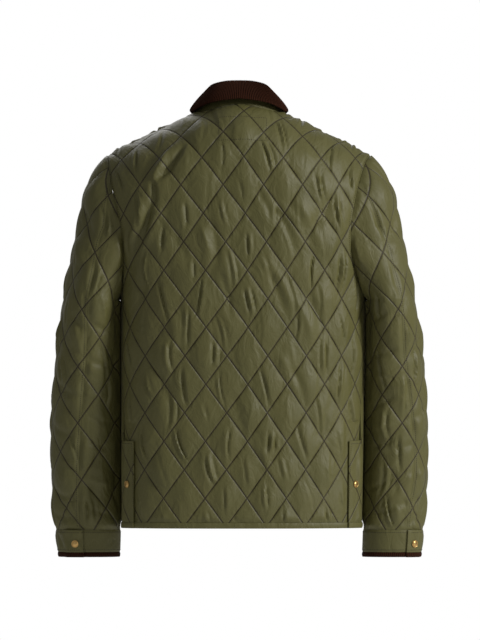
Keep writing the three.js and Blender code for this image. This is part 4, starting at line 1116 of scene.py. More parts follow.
def press_to_body(side, cloth):
    """Where a sleeve hangs close to the body, its cloth swells till it all but touches."""
    sign = SIDES[side]
    depth, z = cloth.place[:, 1], cloth.place[:, 2]
    near = (np.abs(depth) < PRESS["half_depth"]) & (z < ARMHOLE["bottom"]) & (z > PRESS["bottom"])
    gap = np.full(len(z), np.inf)
    gap[near] = np.abs(cloth.place[near, 0]) - body_side(side, depth[near], z[near])
    gap = np.where(gap < PRESS["reach"], gap, PRESS["reach"])
    ends = smooth(ARMHOLE["bottom"] - z, 0, PRESS["fade_up"])
    ends *= smooth(z, PRESS["bottom"], PRESS["bottom"] + PRESS["fade_down"])
    share = (1 - smooth(gap, PRESS["reach"] / 3, PRESS["reach"])) * ends
    cloth.place[:, 0] -= sign * np.maximum(gap - PRESS["left"], 0) * share


top_sleeve_pieces = {}
for side, sign in SIDES.items():
    crossing = (-sign * SLEEVE_CROSSING[0], SLEEVE_CROSSING[1])
    sleeve_bottom = CUFF_TOP + SEAM_GAP

    top_sleeve = Cloth(sleeve_surface(side), crossing)
    heights = sleeve_heights(sleeve_bottom, ARMHOLE["top"] - CAP_TOP_ROWS[0])
    heights = np.append(heights, [
        ARMHOLE["bottom"] + ABOVE_UNDERARM, BACK_HORN_TIP, ARMHOLE["top"] - CAP_TOP_ROWS[1]])
    heights = np.unique(heights)
    ring = SleeveRing(side, heights)
    starts, stops = ordered(
        side, -ring.cut_at("front", FRONT_SEAM_ANGLE) + HALF_GAP,
        ring.cut_at("back", back_seam_angle(side, heights)) - HALF_GAP,
    )
    for up, start, stop in zip(heights, starts, stops):
        top_sleeve.row(float(up), float(start), float(stop))
    top_sleeve.rows.append(top_sleeve.add([0.0], [ARMHOLE["top"] - ARMHOLE_GAP], ["tip"]))
    for low, high in zip(top_sleeve.rows, top_sleeve.rows[1:]):
        top_sleeve.join(low, high)
    top_sleeve.shape()
    from_edge = np.minimum(
        top_sleeve.along - np.interp(top_sleeve.up, heights, starts),
        np.interp(top_sleeve.up, heights, stops) - top_sleeve.along,
    )
    top_sleeve_pieces[side] = top_sleeve.finished(
        f"quilted_top_sleeve_{side}", quilted_nylon, sleeve_rise(side, top_sleeve, from_edge)
    )
    sew_in(top_sleeve_pieces[side], f"top_sleeve_{side}", top_sleeve.flat_cut())

    under_sleeve = Cloth(sleeve_surface(side), crossing)
    heights = sleeve_heights(sleeve_bottom, float(ARMHOLE["bottom"]))
    ring = SleeveRing(side, heights)
    starts, stops = ordered(
        side, ring.cut_at("back", back_seam_angle(side, heights)) + HALF_GAP,
        ring.girth() - ring.cut_at("front", FRONT_SEAM_ANGLE) - HALF_GAP,
    )
    underarm = -sign * float(ring.cut_at("back", math.pi)[-1])
    for up, start, stop in zip(heights, starts, stops):
        extras = [underarm] if up == heights[-1] else []
        under_sleeve.row(float(up), float(start), float(stop), extras=extras)
    for low, high in zip(under_sleeve.rows, under_sleeve.rows[1:]):
        under_sleeve.join(low, high)
    edges = [(heights, starts, stops)]
    front_tip = float(turning_point(
        float(ARMHOLE["bottom"]), ARMHOLE_MIDDLE,
        lambda z: SleeveRing(side, z).end["front"][0] > FRONT_SEAM_ANGLE))
    for face, tip in (("back", float(BACK_HORN_TIP)), ("front", front_tip)):
        rows = sleeve_heights(float(ARMHOLE["bottom"]), tip)[:-1]
        rows = np.unique(np.append(rows, ARMHOLE["bottom"] + ABOVE_UNDERARM))
        ring = SleeveRing(side, rows)
        cut = ring.cut_at(face, math.pi)
        if face == "back":
            horn = ordered(side, ring.cut_at("back", back_seam_angle(side, rows)) + HALF_GAP, cut)
        else:
            front_seam_at = ring.girth() - ring.cut_at("front", FRONT_SEAM_ANGLE) - HALF_GAP
            horn = ordered(side, ring.girth() - cut, front_seam_at)
        first = len(under_sleeve.rows)
        for up, start, stop in zip(rows, *horn):
            under_sleeve.row(float(up), float(start), float(stop))
        apex = SleeveRing(side, tip)
        at_front = apex.girth() - apex.cut_at("front", math.pi)
        at_back = apex.cut_at("back", back_seam_angle(side, tip)) + HALF_GAP
        reached = float((at_back if face == "back" else at_front)[0])
        under_sleeve.rows.append(under_sleeve.add([-sign * reached], [tip], ["tip"]))
        for low, high in zip(under_sleeve.rows[first:], under_sleeve.rows[first + 1:]):
            under_sleeve.join(low, high)
        edges.append((rows, *horn))
    under_sleeve.shape()
    press_to_body(side, under_sleeve)
    from_edge = np.full(len(under_sleeve.along), np.inf)
    for rows, starts, stops in edges:
        start, stop = np.interp(under_sleeve.up, rows, starts), np.interp(under_sleeve.up, rows, stops)
        inside = (under_sleeve.along >= start - 1) & (under_sleeve.along <= stop + 1)
        inside &= (under_sleeve.up >= rows[0]) & (under_sleeve.up <= rows[-1])
        gap = np.minimum(under_sleeve.along - start, stop - under_sleeve.along)
        from_edge = np.where(inside, np.minimum(from_edge, gap), from_edge)
    from_edge = np.where(np.isinf(from_edge), 0, from_edge)
    sew_in(
        under_sleeve.finished(
            f"quilted_under_sleeve_{side}", quilted_nylon, sleeve_rise(side, under_sleeve, from_edge)),
        f"under_sleeve_{side}", under_sleeve.flat_cut(),
    )

# The cuffs
# A plain band of the nylon round each wrist with a strip of brown corduroy round its lower edge. The
# outer end laps over the inner one beside the back seam, where a snap holds it.
CUFF = {"top": CUFF_TOP, "bottom": -744, "binding_bottom": -752.5, "lap": 24, "lift": 3.4, "rise": 0.4}
CUFF_FULLNESS = 0.9
CUFF_STITCHED = 4
LAP_RAMP = (2, 16)
CUFF_ROWS, CUFF_STRIP_ROWS = 12, 6
STRIP_ROLL = 1.1
CUFF_EDGE_LEAN = {"left": 0.137, "right": 0.44}
CORD_WALL = 2.4
CUFF_STEP = 3.0
WALE = 3.3
CUFF_CREASES = {
    "left": [
        (20, -709, 34, -738, 4, -2.0), (52, -708, 47, -733, 4, -1.8), (-20, -708, -34, -738, 5, -1.8),
        (36, -709, 42, -736, 4, 1.6), (66, -712, 74, -741, 4, -1.8), (4, -709, 10, -738, 4, 1.5),
        (84, -709, 80, -739, 5, 1.4), (-50, -709, -44, -739, 6, -1.6), (96, -711, 104, -740, 4, -1.7),
    ],
    "right": [
        (15, -709, 28, -737, 4, -2.0), (46, -708, 38, -734, 4, -1.8), (-20, -708, -36, -738, 5, -1.8),
        (30, -709, 34, -736, 4, 1.5), (60, -711, 68, -740, 4, -1.9), (2, -709, 6, -739, 4, 1.4),
        (78, -709, 84, -739, 4, -1.7), (-52, -709, -46, -739, 6, -1.5), (92, -709, 96, -740, 5, 1.5),
    ],
}


# Places across a rib where the hollow between ribs starts, its depth and the colour of the shade painted in
# it, then the pile's fibres and wear for each rib
FURROW_AND_PAINTED_SHADE = {"from": 0.18, "to": 0.5, "depth": 0.9, "colour": "#0a0401"}
PILE = {"across": 9.0, "along": 2.2, "height": 0.25, "dark": "#210e05", "light": "#3f1c0b"}
WEAR = {"per_rib": 0.12, "share": 0.25, "colour": "#3a2010"}
PILE_SHEEN = "#7a4f35"


def corduroy(name):
    """Wide-wale cotton corduroy: soft round ribs of cut pile with shade painted in the furrows, pale-edged
    and matt.
    """
    material = empty_material(name)
    place = add_node(material, "UVMap", uv_map="Cloth").outputs["UV"]
    across = add_node(material, "SeparateXYZ", {"Vector": place}).outputs["X"]
    from_rib = add_node(material, "Math", {0: across, 1: 0.5}, operation="PINGPONG").outputs[0]
    furrow_and_painted_shade = add_node(
        material, "MapRange", {"Value": from_rib, "From Min": FURROW_AND_PAINTED_SHADE["from"], "From Max": FURROW_AND_PAINTED_SHADE["to"]},
        interpolation_type="SMOOTHSTEP",
    ).outputs["Result"]
    # Pile fibres about 1 mm long lie down the ribs; they are drawn 1.5 mm long so that they show.
    fibres = {"Vector": place, "Scale": (PILE["across"], PILE["along"], 1)}
    lying = add_node(material, "Mapping", fibres).outputs["Vector"]
    pile = add_node(
        material, "TexNoise", {"Vector": lying, "Scale": 1.0, "Detail": 3.0, "Roughness": 0.6}
    ).outputs["Fac"]
    worn = add_node(
        material, "TexNoise", {"Vector": place, "Scale": WEAR["per_rib"], "Detail": 2.0}).outputs["Fac"]
    rubbed = add_node(material, "Math", {0: worn, 1: WEAR["share"]}, operation="MULTIPLY").outputs[0]
    shade = add_node(
        material, "Mix", {"Factor": pile, "A": linear(PILE["dark"]), "B": linear(PILE["light"])},
        data_type="RGBA",
    ).outputs["Result"]
    # Shade is painted into the furrows; the rubbed wear is the pile's own colour.
    for cover, colour in ((furrow_and_painted_shade, FURROW_AND_PAINTED_SHADE["colour"]), (rubbed, WEAR["colour"])):
        shade = add_node(
            material, "Mix", {"Factor": cover, "A": shade, "B": linear(colour)}, data_type="RGBA"
        ).outputs["Result"]
    tufts = add_node(material, "Math", {0: pile, 1: PILE["height"]}, operation="MULTIPLY").outputs[0]
    height = add_node(
        material, "Math", {0: furrow_and_painted_shade, 1: -FURROW_AND_PAINTED_SHADE["depth"], 2: tufts}, operation="MULTIPLY_ADD").outputs[0]
    bump = add_node(material, "Bump", {"Height": height, "Strength": 0.9, "Distance": MM}).outputs["Normal"]
    return finish_material(material, add_node(material, "BsdfPrincipled", {
        "Base Color": shade, "Normal": bump, "Roughness": 0.95, "IOR": 1.47, "Specular IOR Level": 0.15,
        "Sheen Weight": 0.12, "Sheen Roughness": 0.5, "Sheen Tint": linear(PILE_SHEEN),
    }))


brown_corduroy = corduroy("brown_cotton_corduroy")


def cuff_edge(side, z):
    return SleeveRing(side, z).cut_at("back", math.acos(CUFF_EDGE_LEAN[side]))


def wrist_band(side, top, bottom, rows):
    """A band once round the wrist; returns it with how far each place lies inside its outer end."""
    heights = np.linspace(bottom, top, rows)
    edge = cuff_edge(side, heights)
    starts, stops = ordered(side, edge - SleeveRing(side, heights).girth() - CUFF["lap"], edge)
    band = Cloth(sleeve_surface(side))
    for up, start, stop in zip(heights, starts, stops):
        columns = round(float(stops[0] - starts[0]) / CUFF_STEP)
        along = start + (stop - start) * np.linspace(0, 1, columns)
        band.rows.append(band.add(along, [float(up)] * columns, range(columns)))
    for low, high in zip(band.rows, band.rows[1:]):
        band.join(low, high)
    band.shape()
    inside = np.interp(band.up, heights, edge) - band.along * -SIDES[side]
    return band, inside


def band_lift(inside):
    return CUFF["lift"] * (1 - smooth(inside, CUFF["lap"] + LAP_RAMP[0], CUFF["lap"] + LAP_RAMP[1]))


cuff_pieces = {}
for side in SIDES:
    cuff, inside = wrist_band(side, CUFF["top"], CUFF["bottom"], CUFF_ROWS)
    from_top = CUFF["top"] - cuff.up
    stitched = smooth(from_top, 0, CUFF_STITCHED) * smooth(cuff.up - CUFF["bottom"], 0, CUFF_STITCHED)
    wrinkles = creases(cuff.along * -SIDES[side], cuff.up, CUFF_CREASES[side])
    rise = CUFF["rise"] + stitched * (CUFF_FULLNESS + wrinkles)
    cuff_pieces[side] = cuff.finished(f"nylon_cuff_{side}", plain_nylon, rise, band_lift(inside))
    sew_in(cuff_pieces[side], f"cuff_{side}", cuff.flat_cut())
    strip, inside = wrist_band(side, CUFF["bottom"] - SEAM_GAP, CUFF["binding_bottom"], CUFF_STRIP_ROWS)
    middle = (CUFF["bottom"] + CUFF["binding_bottom"]) / 2
    roll = 1 - ((strip.up - middle) / (CUFF["bottom"] - middle)) ** 2
    strip.a, strip.b = strip.along / WALE, strip.up / WALE
    strip_piece = strip.finished(
        f"corduroy_strip_{side}", brown_corduroy, CUFF["rise"] + STRIP_ROLL * np.clip(roll, 0, 1),
        band_lift(inside), CORD_WALL,
    )
    bind(strip_piece, cuff_pieces[side], f"cuff_binding_{side}")

# The collar
# A nylon stand sewn into the neck, and a leaf of wide-wale corduroy turned down over it. The leaf
# stands free behind the neck and rests on the shoulders and chest in front. Its ribs run up and down.
COLLAR_END = 174
FOLD = {"half_width": 56, "back": 43, "front": 84}
LEAF_EDGE = {"half_width": 85, "back": 76, "front": 113, "rest": 8}
COLLAR = np.array([
    # degrees from the centre back, height of the fold, height of the leaf's edge
    (0, 61.6, 31.5), (21, 61, 28), (38, 58.5, 23.5), (54, 55, 16.6), (72, 48, 9.5),
    (90, 41, 7), (120, 31, -3), (150, 18, -19), (174, 10, -28),
], float)
FOLD_HEIGHT, EDGE_HEIGHT = 1, 2
FREE_BEHIND = 72
STAND_DEPTH = 40
LEAF_DEPTH = 44
LEAF_BULGE = 2.5
COLLAR_SEAT = 0.3
STAND_CLEARANCE = 0.8
MM_PER_DEGREE = 1.3
STAND_COLUMNS, STAND_ROWS = 121, 9
LEAF_ROWS = 13
# A rib: its samples, its height, how round it is, its share at the leaf's ends, and the pad under it
RIB = {"samples": 6, "height": 0.9, "round": 0.7, "at_ends": 0.35, "pad": 0.8}
LEAF_TURNED = {"up": 3, "degrees": 2}
BESIDE_NECK = {"back": 300.0, "front": 200.0}
MEAN_LEAF_RADIUS = 84


def on_oval(oval, angle):
    depth = np.where(np.abs(angle) < math.pi / 2, oval["back"], oval["front"])
    return oval["half_width"] * np.sin(angle), depth * np.cos(angle)


def body_under(x, y):
    """Height of the body's form under a place near the neck."""
    sign = np.where(x >= 0, 1, -1)
    whole = np.where(x >= 0, half_girth("left", 0.0), half_girth("right", 0.0))
    start, stop = np.where(y >= 0, 0.0, whole), np.where(y >= 0, BESIDE_NECK["back"], BESIDE_NECK["front"])

    def is_nearer(distance):
        return np.abs(body_column(sign * distance, 0.0)[0]) < np.abs(x)

    along = turning_point(start, stop, is_nearer)
    _, deep, rounding, _, _ = body_column(sign * along, 0.0)
    share = np.clip(np.abs(y / deep), 0, 1)
    return rounding + SHOULDER_ROUNDING * np.sqrt(1 - share**2)


def neck_seam(degrees):
    x, y = on_oval(NECK, np.radians(degrees))
    return np.stack([x, y, body_under(x, y) + COLLAR_SEAT], -1)


def fold_line(degrees, inward=0.0):
    angle = np.radians(degrees)
    x, y = on_oval(FOLD, angle)
    height = read(COLLAR, FOLD_HEIGHT, np.abs(degrees))
    return np.stack([x - inward * np.sin(angle), y - inward * np.cos(angle), height], -1)


def leaf_edge(degrees):
    x, y = on_oval(LEAF_EDGE, np.radians(degrees))
    height = read(COLLAR, EDGE_HEIGHT, np.abs(degrees))
    resting = np.maximum(height, body_under(x, y) + LEAF_EDGE["rest"])
    return np.stack([x, y, np.where(np.abs(degrees) < FREE_BEHIND, height, resting)], -1)


def collar_surface(lower, upper, depth, bulge):
    def surface(degrees, up):
        share = np.reshape(np.asarray(up, float) / depth, (-1, 1))
        place = lower(degrees) * (1 - share) + upper(degrees) * share
        angle = np.radians(degrees)
        arch = bulge * 4 * share * (1 - share)
        return place + arch * np.stack([np.sin(angle), np.cos(angle), np.full_like(angle, 0.5)], -1)

    return surface


def collar_band(surface, depth, columns, rows):
    band = Cloth(surface)
    for up in np.linspace(0, depth, rows):
        degrees = np.linspace(-COLLAR_END, COLLAR_END, columns)
        band.rows.append(band.add(degrees, [float(up)] * columns, range(columns)))
    for low, high in zip(band.rows, band.rows[1:]):
        band.join(low, high)
    band.shape()
    return band


def band_cut(band, depth):
    """The band's real length along its middle, with its depth."""
    from_middle = np.abs(band.up - depth / 2)
    here = np.isclose(from_middle, from_middle.min())
    places = band.place[here][np.argsort(band.along[here])]
    length = np.linalg.norm(np.diff(places, axis=0), axis=1).sum() * MM
    low, high = band.place[band.up == 0], band.place[band.up == depth]
    width = np.linalg.norm(high - low, axis=1).mean() * MM
    return length, width, length * width


def under_fold(degrees):
    return fold_line(degrees, CORD_WALL + STAND_CLEARANCE)


stand = collar_band(
    collar_surface(neck_seam, under_fold, STAND_DEPTH, 0), STAND_DEPTH, STAND_COLUMNS, STAND_ROWS)
stand.a, stand.b = stand.along * MM_PER_DEGREE / DIAMOND_WIDTH, stand.up / DIAMOND_HEIGHT
stand_piece = stand.finished("nylon_collar_stand", plain_nylon)
sew_in(stand_piece, "collar_stand", band_cut(stand, STAND_DEPTH))

ribs = round(2 * math.radians(COLLAR_END) * MEAN_LEAF_RADIUS / WALE)
leaf_surface = collar_surface(leaf_edge, fold_line, LEAF_DEPTH, LEAF_BULGE)
leaf = collar_band(leaf_surface, LEAF_DEPTH, ribs * RIB["samples"] + 1, LEAF_ROWS)
turns = (leaf.along + COLLAR_END) / (2 * COLLAR_END) * ribs
leaf.a, leaf.b = turns - 0.5, leaf.up / WALE
inside = smooth(leaf.up, 0, LEAF_TURNED["up"])
inside *= smooth(COLLAR_END - np.abs(leaf.along), 0, LEAF_TURNED["degrees"])
rib_rise = RIB["height"] * np.abs(np.sin(turns * math.pi)) ** RIB["round"]
rib_rise = rib_rise * (RIB["at_ends"] + (1 - RIB["at_ends"]) * inside) + RIB["pad"] * inside
sew_in(
    leaf.finished("corduroy_collar_leaf", brown_corduroy, rib_rise - RIB["pad"], wall=CORD_WALL),
    "collar_leaf", band_cut(leaf, LEAF_DEPTH),
)

# The snaps
# Pressed brass press studs: a domed cap with a rolled rim, standing on the outer layer. Two hold the
# cuffs, two the vents' flaps, and six close the front. They are plain, and all from one cap.
SNAP = {"radius": 6.3, "height": 2.6}
SNAP_SIDES = 32
SNAP_SOFT = 35
WALL_SHARE = 0.5
RIM = {"bevel": 0.35, "segments": 3, "angle": 50}
FACING_UP = 0.9
CAP_STEPS = [
    # ring inset and rise, as shares of the cap's radius and height: rim, groove, then the dome
    (0.1, 0.12), (0.08, -0.14), (0.04, 0.0), (0.1, 0.22), (0.16, 0.16), (0.18, 0.1), (0.16, 0.04),
]
FRONT_SNAPS = {"count": 6, "top": -95, "bottom": -600}
CUFF_SNAP_INSET = 13
BRASS = {"bright": "#e3bf80", "tarnished": "#b48c4e"}
TARNISH_PER_METRE = 400.0
BRASS_ROUGHNESS = (0.25, 0.45)


def pressed_brass():
    """Pressed, lacquered brass: warm and bright on the rim, a little duller where it tarnishes."""
    material = empty_material("pressed_lacquered_brass")
    place = add_node(material, "TexCoord").outputs["Object"]
    tarnish = add_node(material, "TexNoise", {
        "Vector": place, "Scale": TARNISH_PER_METRE, "Detail": 3.0, "Roughness": 0.6,
    }).outputs["Fac"]
    base = add_node(
        material, "Mix",
        {"Factor": tarnish, "A": linear(BRASS["bright"]), "B": linear(BRASS["tarnished"])},
        data_type="RGBA",
    ).outputs["Result"]
    smoothest, dullest = BRASS_ROUGHNESS
    rough = add_node(
        material, "MapRange", {"Value": tarnish, "To Min": smoothest, "To Max": dullest}).outputs["Result"]
    return finish_material(material, add_node(
        material, "BsdfPrincipled", {"Base Color": base, "Roughness": rough, "Metallic": 1.0}))


brass = pressed_brass()


def top_faces(bm, height):
    return [face for face in bm.faces if face.normal.z > FACING_UP and face.calc_center_median().z > height]


bpy.ops.mesh.primitive_cylinder_add(
    vertices=SNAP_SIDES, radius=SNAP["radius"] * MM, depth=SNAP["height"] * WALL_SHARE * MM,
    location=(0, 0, SNAP["height"] * WALL_SHARE / 2 * MM), end_fill_type="NGON",
)
cap = bpy.context.active_object
bpy.ops.object.transform_apply(location=True)
bpy.ops.object.mode_set(mode="EDIT")
bpy.ops.mesh.select_all(action="DESELECT")
bm = bmesh.from_edit_mesh(cap.data)
for face in top_faces(bm, 0):
    face.select = True
bmesh.update_edit_mesh(cap.data)
for inset, rise in CAP_STEPS:
    bpy.ops.mesh.inset(thickness=inset * SNAP["radius"] * MM, depth=0)
    bpy.ops.transform.translate(value=(0, 0, rise * SNAP["height"] * MM))
bpy.ops.mesh.select_all(action="SELECT")
bpy.ops.mesh.normals_make_consistent(inside=False)
bpy.ops.object.mode_set(mode="OBJECT")
rounding = cap.modifiers.new("rounded_rim", "BEVEL")
rounding.width, rounding.segments, rounding.limit_method = RIM["bevel"] * MM, RIM["segments"], "ANGLE"
rounding.angle_limit = math.radians(RIM["angle"])
bpy.ops.object.modifier_apply(modifier=rounding.name)
cap.data.materials.append(brass)


def snap(name, node, surface, along, up, stand_off):
    """A copy of the cap, with its own mesh, stood on the cloth at a place."""
    one = Cloth(surface)
    one.add([along], [up], [0])
    one.shape()
    normal = Vector(one.normal[0])
    turn = normal.to_track_quat("Z", "Y").to_matrix().to_4x4()
    foot = Vector(one.place[0]) * MM + normal * stand_off * MM
    piece = cap.copy()
    piece.data = cap.data.copy()
    piece.name = name
    piece.data.transform(turn)
    piece.data.transform(Matrix.Translation(foot))
    bpy.context.scene.collection.objects.link(piece)
    soften(piece, SNAP_SOFT)
    put_in_place(piece, node)


for side, sign in SIDES.items():
    column = FRONT_COLUMNS[side]
    flap_snap = front_along(side, sign * (side_seam(side, VENT["top"]) - VENT["flap"] + VENT["snap_inset"]),
                            VENT["snap_up"])
    snap(f"brass_vent_snap_{side}", f"vent_snap_{side}", lambda along, up: stand_at(column(along), up),
         float(flap_snap), VENT["snap_up"], VENT["lift"] + SEAM_GAP)
    snap_z = (CUFF["top"] + CUFF["binding_bottom"]) / 2
    reach = float(cuff_edge(side, snap_z)[0]) - CUFF_SNAP_INSET
    snap(f"brass_cuff_snap_{side}", f"cuff_snap_{side}", sleeve_surface(side), -sign * reach, snap_z,
         CUFF["lift"] + CUFF["rise"] + SEAM_GAP + CUFF_FULLNESS)
for number in range(FRONT_SNAPS["count"]):
    drop = (FRONT_SNAPS["bottom"] - FRONT_SNAPS["top"]) * number / (FRONT_SNAPS["count"] - 1)
    snap(f"brass_front_snap_{number + 1}", f"front_snap_{number + 1}",
         lambda along, up: stand_at(left_front_column(along), up), 0.0, FRONT_SNAPS["top"] + drop,
         OVERLAP["lift"] + SEAM_GAP)
bpy.data.objects.remove(cap)


# The topstitching
# Rows of dark matching thread sewn through the finished layers: beside the armholes and sleeve seams,
# round the vents' flaps and the cuffs, and in a rectangle below the neck.
STITCH = {"pitch": 3.6, "length": 2.7, "width": 1.0, "height": 0.4, "sunk": 0.25, "from_edge": 4}
# The thread is 1 mm wide here so that it shows; real thread is 0.4 mm. Next come the places along a
# stitch, as shares of its length, and how far over the cloth it is dropped from.
STITCH_PLACES = np.array([0, 0.25, 0.75, 1])
ROUND_STITCH = len(STITCH_PLACES)
DROP = 20
STITCH_SOFT = 80
ROW_STEP = 6.0
ARMHOLE_ROW = {"above_underarm": 15, "top": -50}
THREAD_SHADES = ("#1d190a", "#302a14")
TWISTS_PER_METRE = 900.0


def dark_thread():
    """Twisted polyester sewing thread, dull and darker than the cloth."""
    material = empty_material("dark_sewing_thread")
    place = add_node(material, "TexCoord").outputs["Object"]
    twist = add_node(
        material, "TexNoise", {"Vector": place, "Scale": TWISTS_PER_METRE, "Detail": 2.0}).outputs["Fac"]
    dark, light = THREAD_SHADES
    shade = add_node(
        material, "Mix", {"Factor": twist, "A": linear(dark), "B": linear(light)}, data_type="RGBA"
    ).outputs["Result"]
    return finish_material(material, add_node(
        material, "BsdfPrincipled", {"Base Color": shade, "Roughness": 0.75}))


thread = dark_thread()


def topstitch(name, piece, surface, path):
    """A row of stitches along a path over a piece's cloth. Each dips into the cloth at both its ends."""
    path = np.array(path, float)
    reached = np.concatenate([[0], np.cumsum(np.hypot(*np.diff(path, axis=0).T))])
    firsts = np.arange(STITCH["pitch"] / 2, reached[-1] - STITCH["length"], STITCH["pitch"])
    reach = (firsts[:, None] + STITCH_PLACES * STITCH["length"]).ravel()
    line = Cloth(surface)
    line.add(np.interp(reach, reached, path[:, 0]), np.interp(reach, reached, path[:, 1]), reach)
    line.shape()
    corners, faces = [], []
    for stitch in range(len(firsts)):
        feet = []
        for number in range(stitch * ROUND_STITCH, (stitch + 1) * ROUND_STITCH):
            normal = Vector(line.normal[number])
            above = Vector(line.place[number]) * MM + normal * DROP * MM
            hit, foot, _, _ = piece.ray_cast(above, -normal, distance=2 * DROP * MM)
            feet.append((foot if hit else Vector(line.place[number]) * MM, normal))
        aside = (feet[3][0] - feet[0][0]).cross(feet[1][1]).normalized() * STITCH["width"] / 2 * MM
        first = len(corners)
        corners.append(feet[0][0] - feet[0][1] * STITCH["sunk"] * MM)
        for foot, normal in feet[1:3]:
            top = normal * STITCH["height"] * MM
            corners.extend([foot - aside, foot + top - aside / 2, foot + top + aside / 2, foot + aside])
        corners.append(feet[3][0] - feet[3][1] * STITCH["sunk"] * MM)
        end = len(corners) - 1
        for number in range(1, ROUND_STITCH):
            near, far = first + number, first + number + ROUND_STITCH
            faces.append((first, near + 1, near))
            faces.append((near, near + 1, far + 1, far))
            faces.append((end, far, far + 1))
    mesh = bpy.data.meshes.new(name)
    mesh.from_pydata([tuple(corner) for corner in corners], [], faces)
    mesh.materials.append(thread)
    row = bpy.data.objects.new(name, mesh)
    bpy.context.scene.collection.objects.link(row)
    soften(row, STITCH_SOFT)
    row.parent = piece


NECK_PATCH = {"left": 34, "right": -46, "top": 11, "bottom": -38}
patch_path = [
    (NECK_PATCH["left"], NECK_PATCH["top"]), (NECK_PATCH["left"], NECK_PATCH["bottom"]),
    (NECK_PATCH["right"], NECK_PATCH["bottom"]), (NECK_PATCH["right"], NECK_PATCH["top"]),
    (NECK_PATCH["left"], NECK_PATCH["top"]),
]
topstitch("stitches_neck_patch", back_piece, back_surface, patch_path)
hem_row = HEM_Z + STITCH["from_edge"]
for side, sign in SIDES.items():
    inset = STITCH["from_edge"] * sign
    heights = np.arange(ARMHOLE["bottom"] + ARMHOLE_ROW["above_underarm"], ARMHOLE_ROW["top"], ROW_STEP)
    topstitch(
        f"stitches_armhole_{side}", back_piece, back_surface,
        np.stack([back_edge(side, heights) - inset, heights], 1),
    )
    flap_from_back = sign * (side_seam(side, VENT["top"]) - VENT["flap"])
    flap_edge = float(front_along(side, flap_from_back, VENT["top"])) + inset
    seam = float(front_seam(side, VENT["top"]))
    top = VENT["top"] - STITCH["from_edge"]
    column = FRONT_COLUMNS[side]
    topstitch(
        f"stitches_flap_{side}", front_pieces[side], lambda along, up: stand_at(column(along), up),
        [(flap_edge, hem_row), (flap_edge, top), (seam, top), (seam + inset, top + 2 * STITCH["from_edge"])],
    )
    heights = np.arange(CUFF_TOP + STITCH["from_edge"], BACK_HORN_TIP - STITCH["from_edge"], ROW_STEP)
    ring = SleeveRing(side, heights)
    beside = ring.cut_at("back", back_seam_angle(side, heights)) - STITCH["from_edge"]
    topstitch(
        f"stitches_sleeve_seam_{side}", top_sleeve_pieces[side], sleeve_surface(side),
        np.stack([-sign * beside, heights], 1),
    )
    cuff_rows = {"top": CUFF["top"] - STITCH["from_edge"], "bottom": CUFF["bottom"] + STITCH["from_edge"]}
    for name, z in cuff_rows.items():
        edge = float(cuff_edge(side, z)[0]) - STITCH["from_edge"]
        round_cuff = float(SleeveRing(side, z).girth()[0])
        topstitch(
            f"stitches_cuff_{name}_{side}", cuff_pieces[side], sleeve_surface(side),
            [(-sign * edge, z), (-sign * (edge - round_cuff), z)],
        )

# The room
# A plain pale floor under the jacket, which hangs as it is worn, and soft studio light: one large
# lamp high on the wearer's right behind, a weak one opposite, and a pale surround.
FLOOR = {"below": 0.27, "size": 3.0}
PAPER = {"dark": "#f2f1ee", "light": "#f8f7f5", "fibres_per_metre": 60.0, "roughness": 0.9}
LAMP_AIM = (0, 0, -0.35)
SURROUND = {"on_cloth": 0.24, "seen": 1.0}
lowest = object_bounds()[0][2]
bpy.ops.mesh.primitive_plane_add(size=FLOOR["size"], location=(0, 0, lowest - FLOOR["below"]))
floor = bpy.context.active_object
floor.name = "studio_floor"
paper = empty_material("pale_paper")
on_floor = add_node(paper, "TexCoord").outputs["Object"]
fibre = add_node(paper, "TexNoise", {"Vector": on_floor, "Scale": PAPER["fibres_per_metre"]}).outputs["Fac"]
paper_shade = add_node(
    paper, "Mix", {"Factor": fibre, "A": linear(PAPER["dark"]), "B": linear(PAPER["light"])},
    data_type="RGBA",
).outputs["Result"]
finish_material(paper, add_node(
    paper, "BsdfPrincipled", {"Base Color": paper_shade, "Roughness": PAPER["roughness"]}))
floor.data.materials.append(paper)


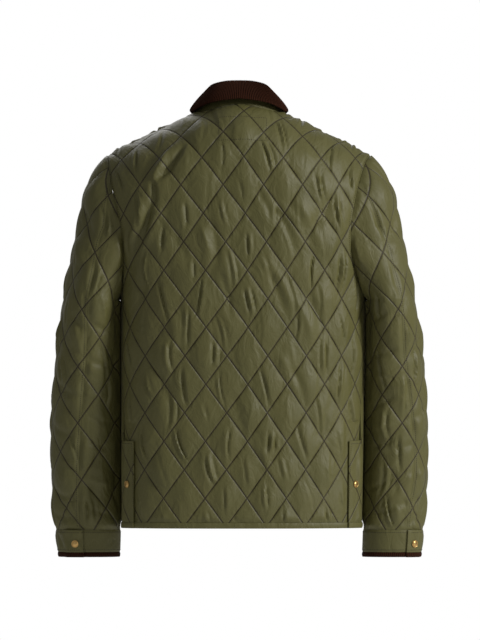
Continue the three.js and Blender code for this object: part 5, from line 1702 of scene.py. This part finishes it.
def add_lamp(name, place, watts, size):
    light = bpy.data.lights.new(name, "AREA")
    light.energy, light.size = watts, size
    lamp = bpy.data.objects.new(name, light)
    lamp.location = place
    lamp.rotation_euler = (Vector(LAMP_AIM) - Vector(place)).to_track_quat("-Z", "Y").to_euler()
    bpy.context.scene.collection.objects.link(lamp)


add_lamp("key_lamp", (-3.5, 2.2, 1.2), 150, 1.0)
add_lamp("top_lamp", (-0.4, 0.9, 2.6), 3, 1.4)
add_lamp("fill_lamp", (2.4, 2.6, 0.2), 1.5, 1.6)
add_lamp("front_lamp", (0.8, -3.0, 1.6), 36, 1.8)

surround = bpy.data.worlds.new("pale_surround")
surround.use_nodes = True
bpy.context.scene.world = surround
tree = surround.node_tree
tree.nodes.clear()
seen = tree.nodes.new("ShaderNodeLightPath")
strength = tree.nodes.new("ShaderNodeMapRange")
strength.inputs["To Min"].default_value = SURROUND["on_cloth"]
strength.inputs["To Max"].default_value = SURROUND["seen"]
sky = tree.nodes.new("ShaderNodeBackground")
output = tree.nodes.new("ShaderNodeOutputWorld")
tree.links.new(seen.outputs["Is Camera Ray"], strength.inputs["Value"])
tree.links.new(strength.outputs["Result"], sky.inputs["Strength"])
tree.links.new(sky.outputs["Background"], output.inputs["Surface"])
sky.inputs["Color"].default_value = (1, 1, 1, 1)
bpy.context.scene.view_settings.view_transform = "Standard"

# The camera
# Square on to the back, and so far off that the near cloth looks no larger than the far cloth.
MM_PER_PIXEL = 1.71
PICTURE = {"width": 480, "height": 640, "middle_x": 239, "neck_y": 117}
CAMERA_AWAY = 20.0
FILM_HEIGHT = 24
camera = bpy.data.cameras.new("camera")
camera.sensor_fit = "VERTICAL"
camera.sensor_height = FILM_HEIGHT
picture_height = PICTURE["height"] * MM_PER_PIXEL * MM
camera.lens = camera.sensor_height * CAMERA_AWAY / picture_height
viewpoint = bpy.data.objects.new("camera", camera)
aim_x = (PICTURE["middle_x"] - PICTURE["width"] / 2) * MM_PER_PIXEL * MM
aim_z = (PICTURE["neck_y"] - PICTURE["height"] / 2) * MM_PER_PIXEL * MM
viewpoint.location = (aim_x, CAMERA_AWAY, aim_z)
viewpoint.rotation_euler = (math.pi / 2, 0, math.pi)
bpy.context.scene.collection.objects.link(viewpoint)
bpy.context.scene.camera = viewpoint
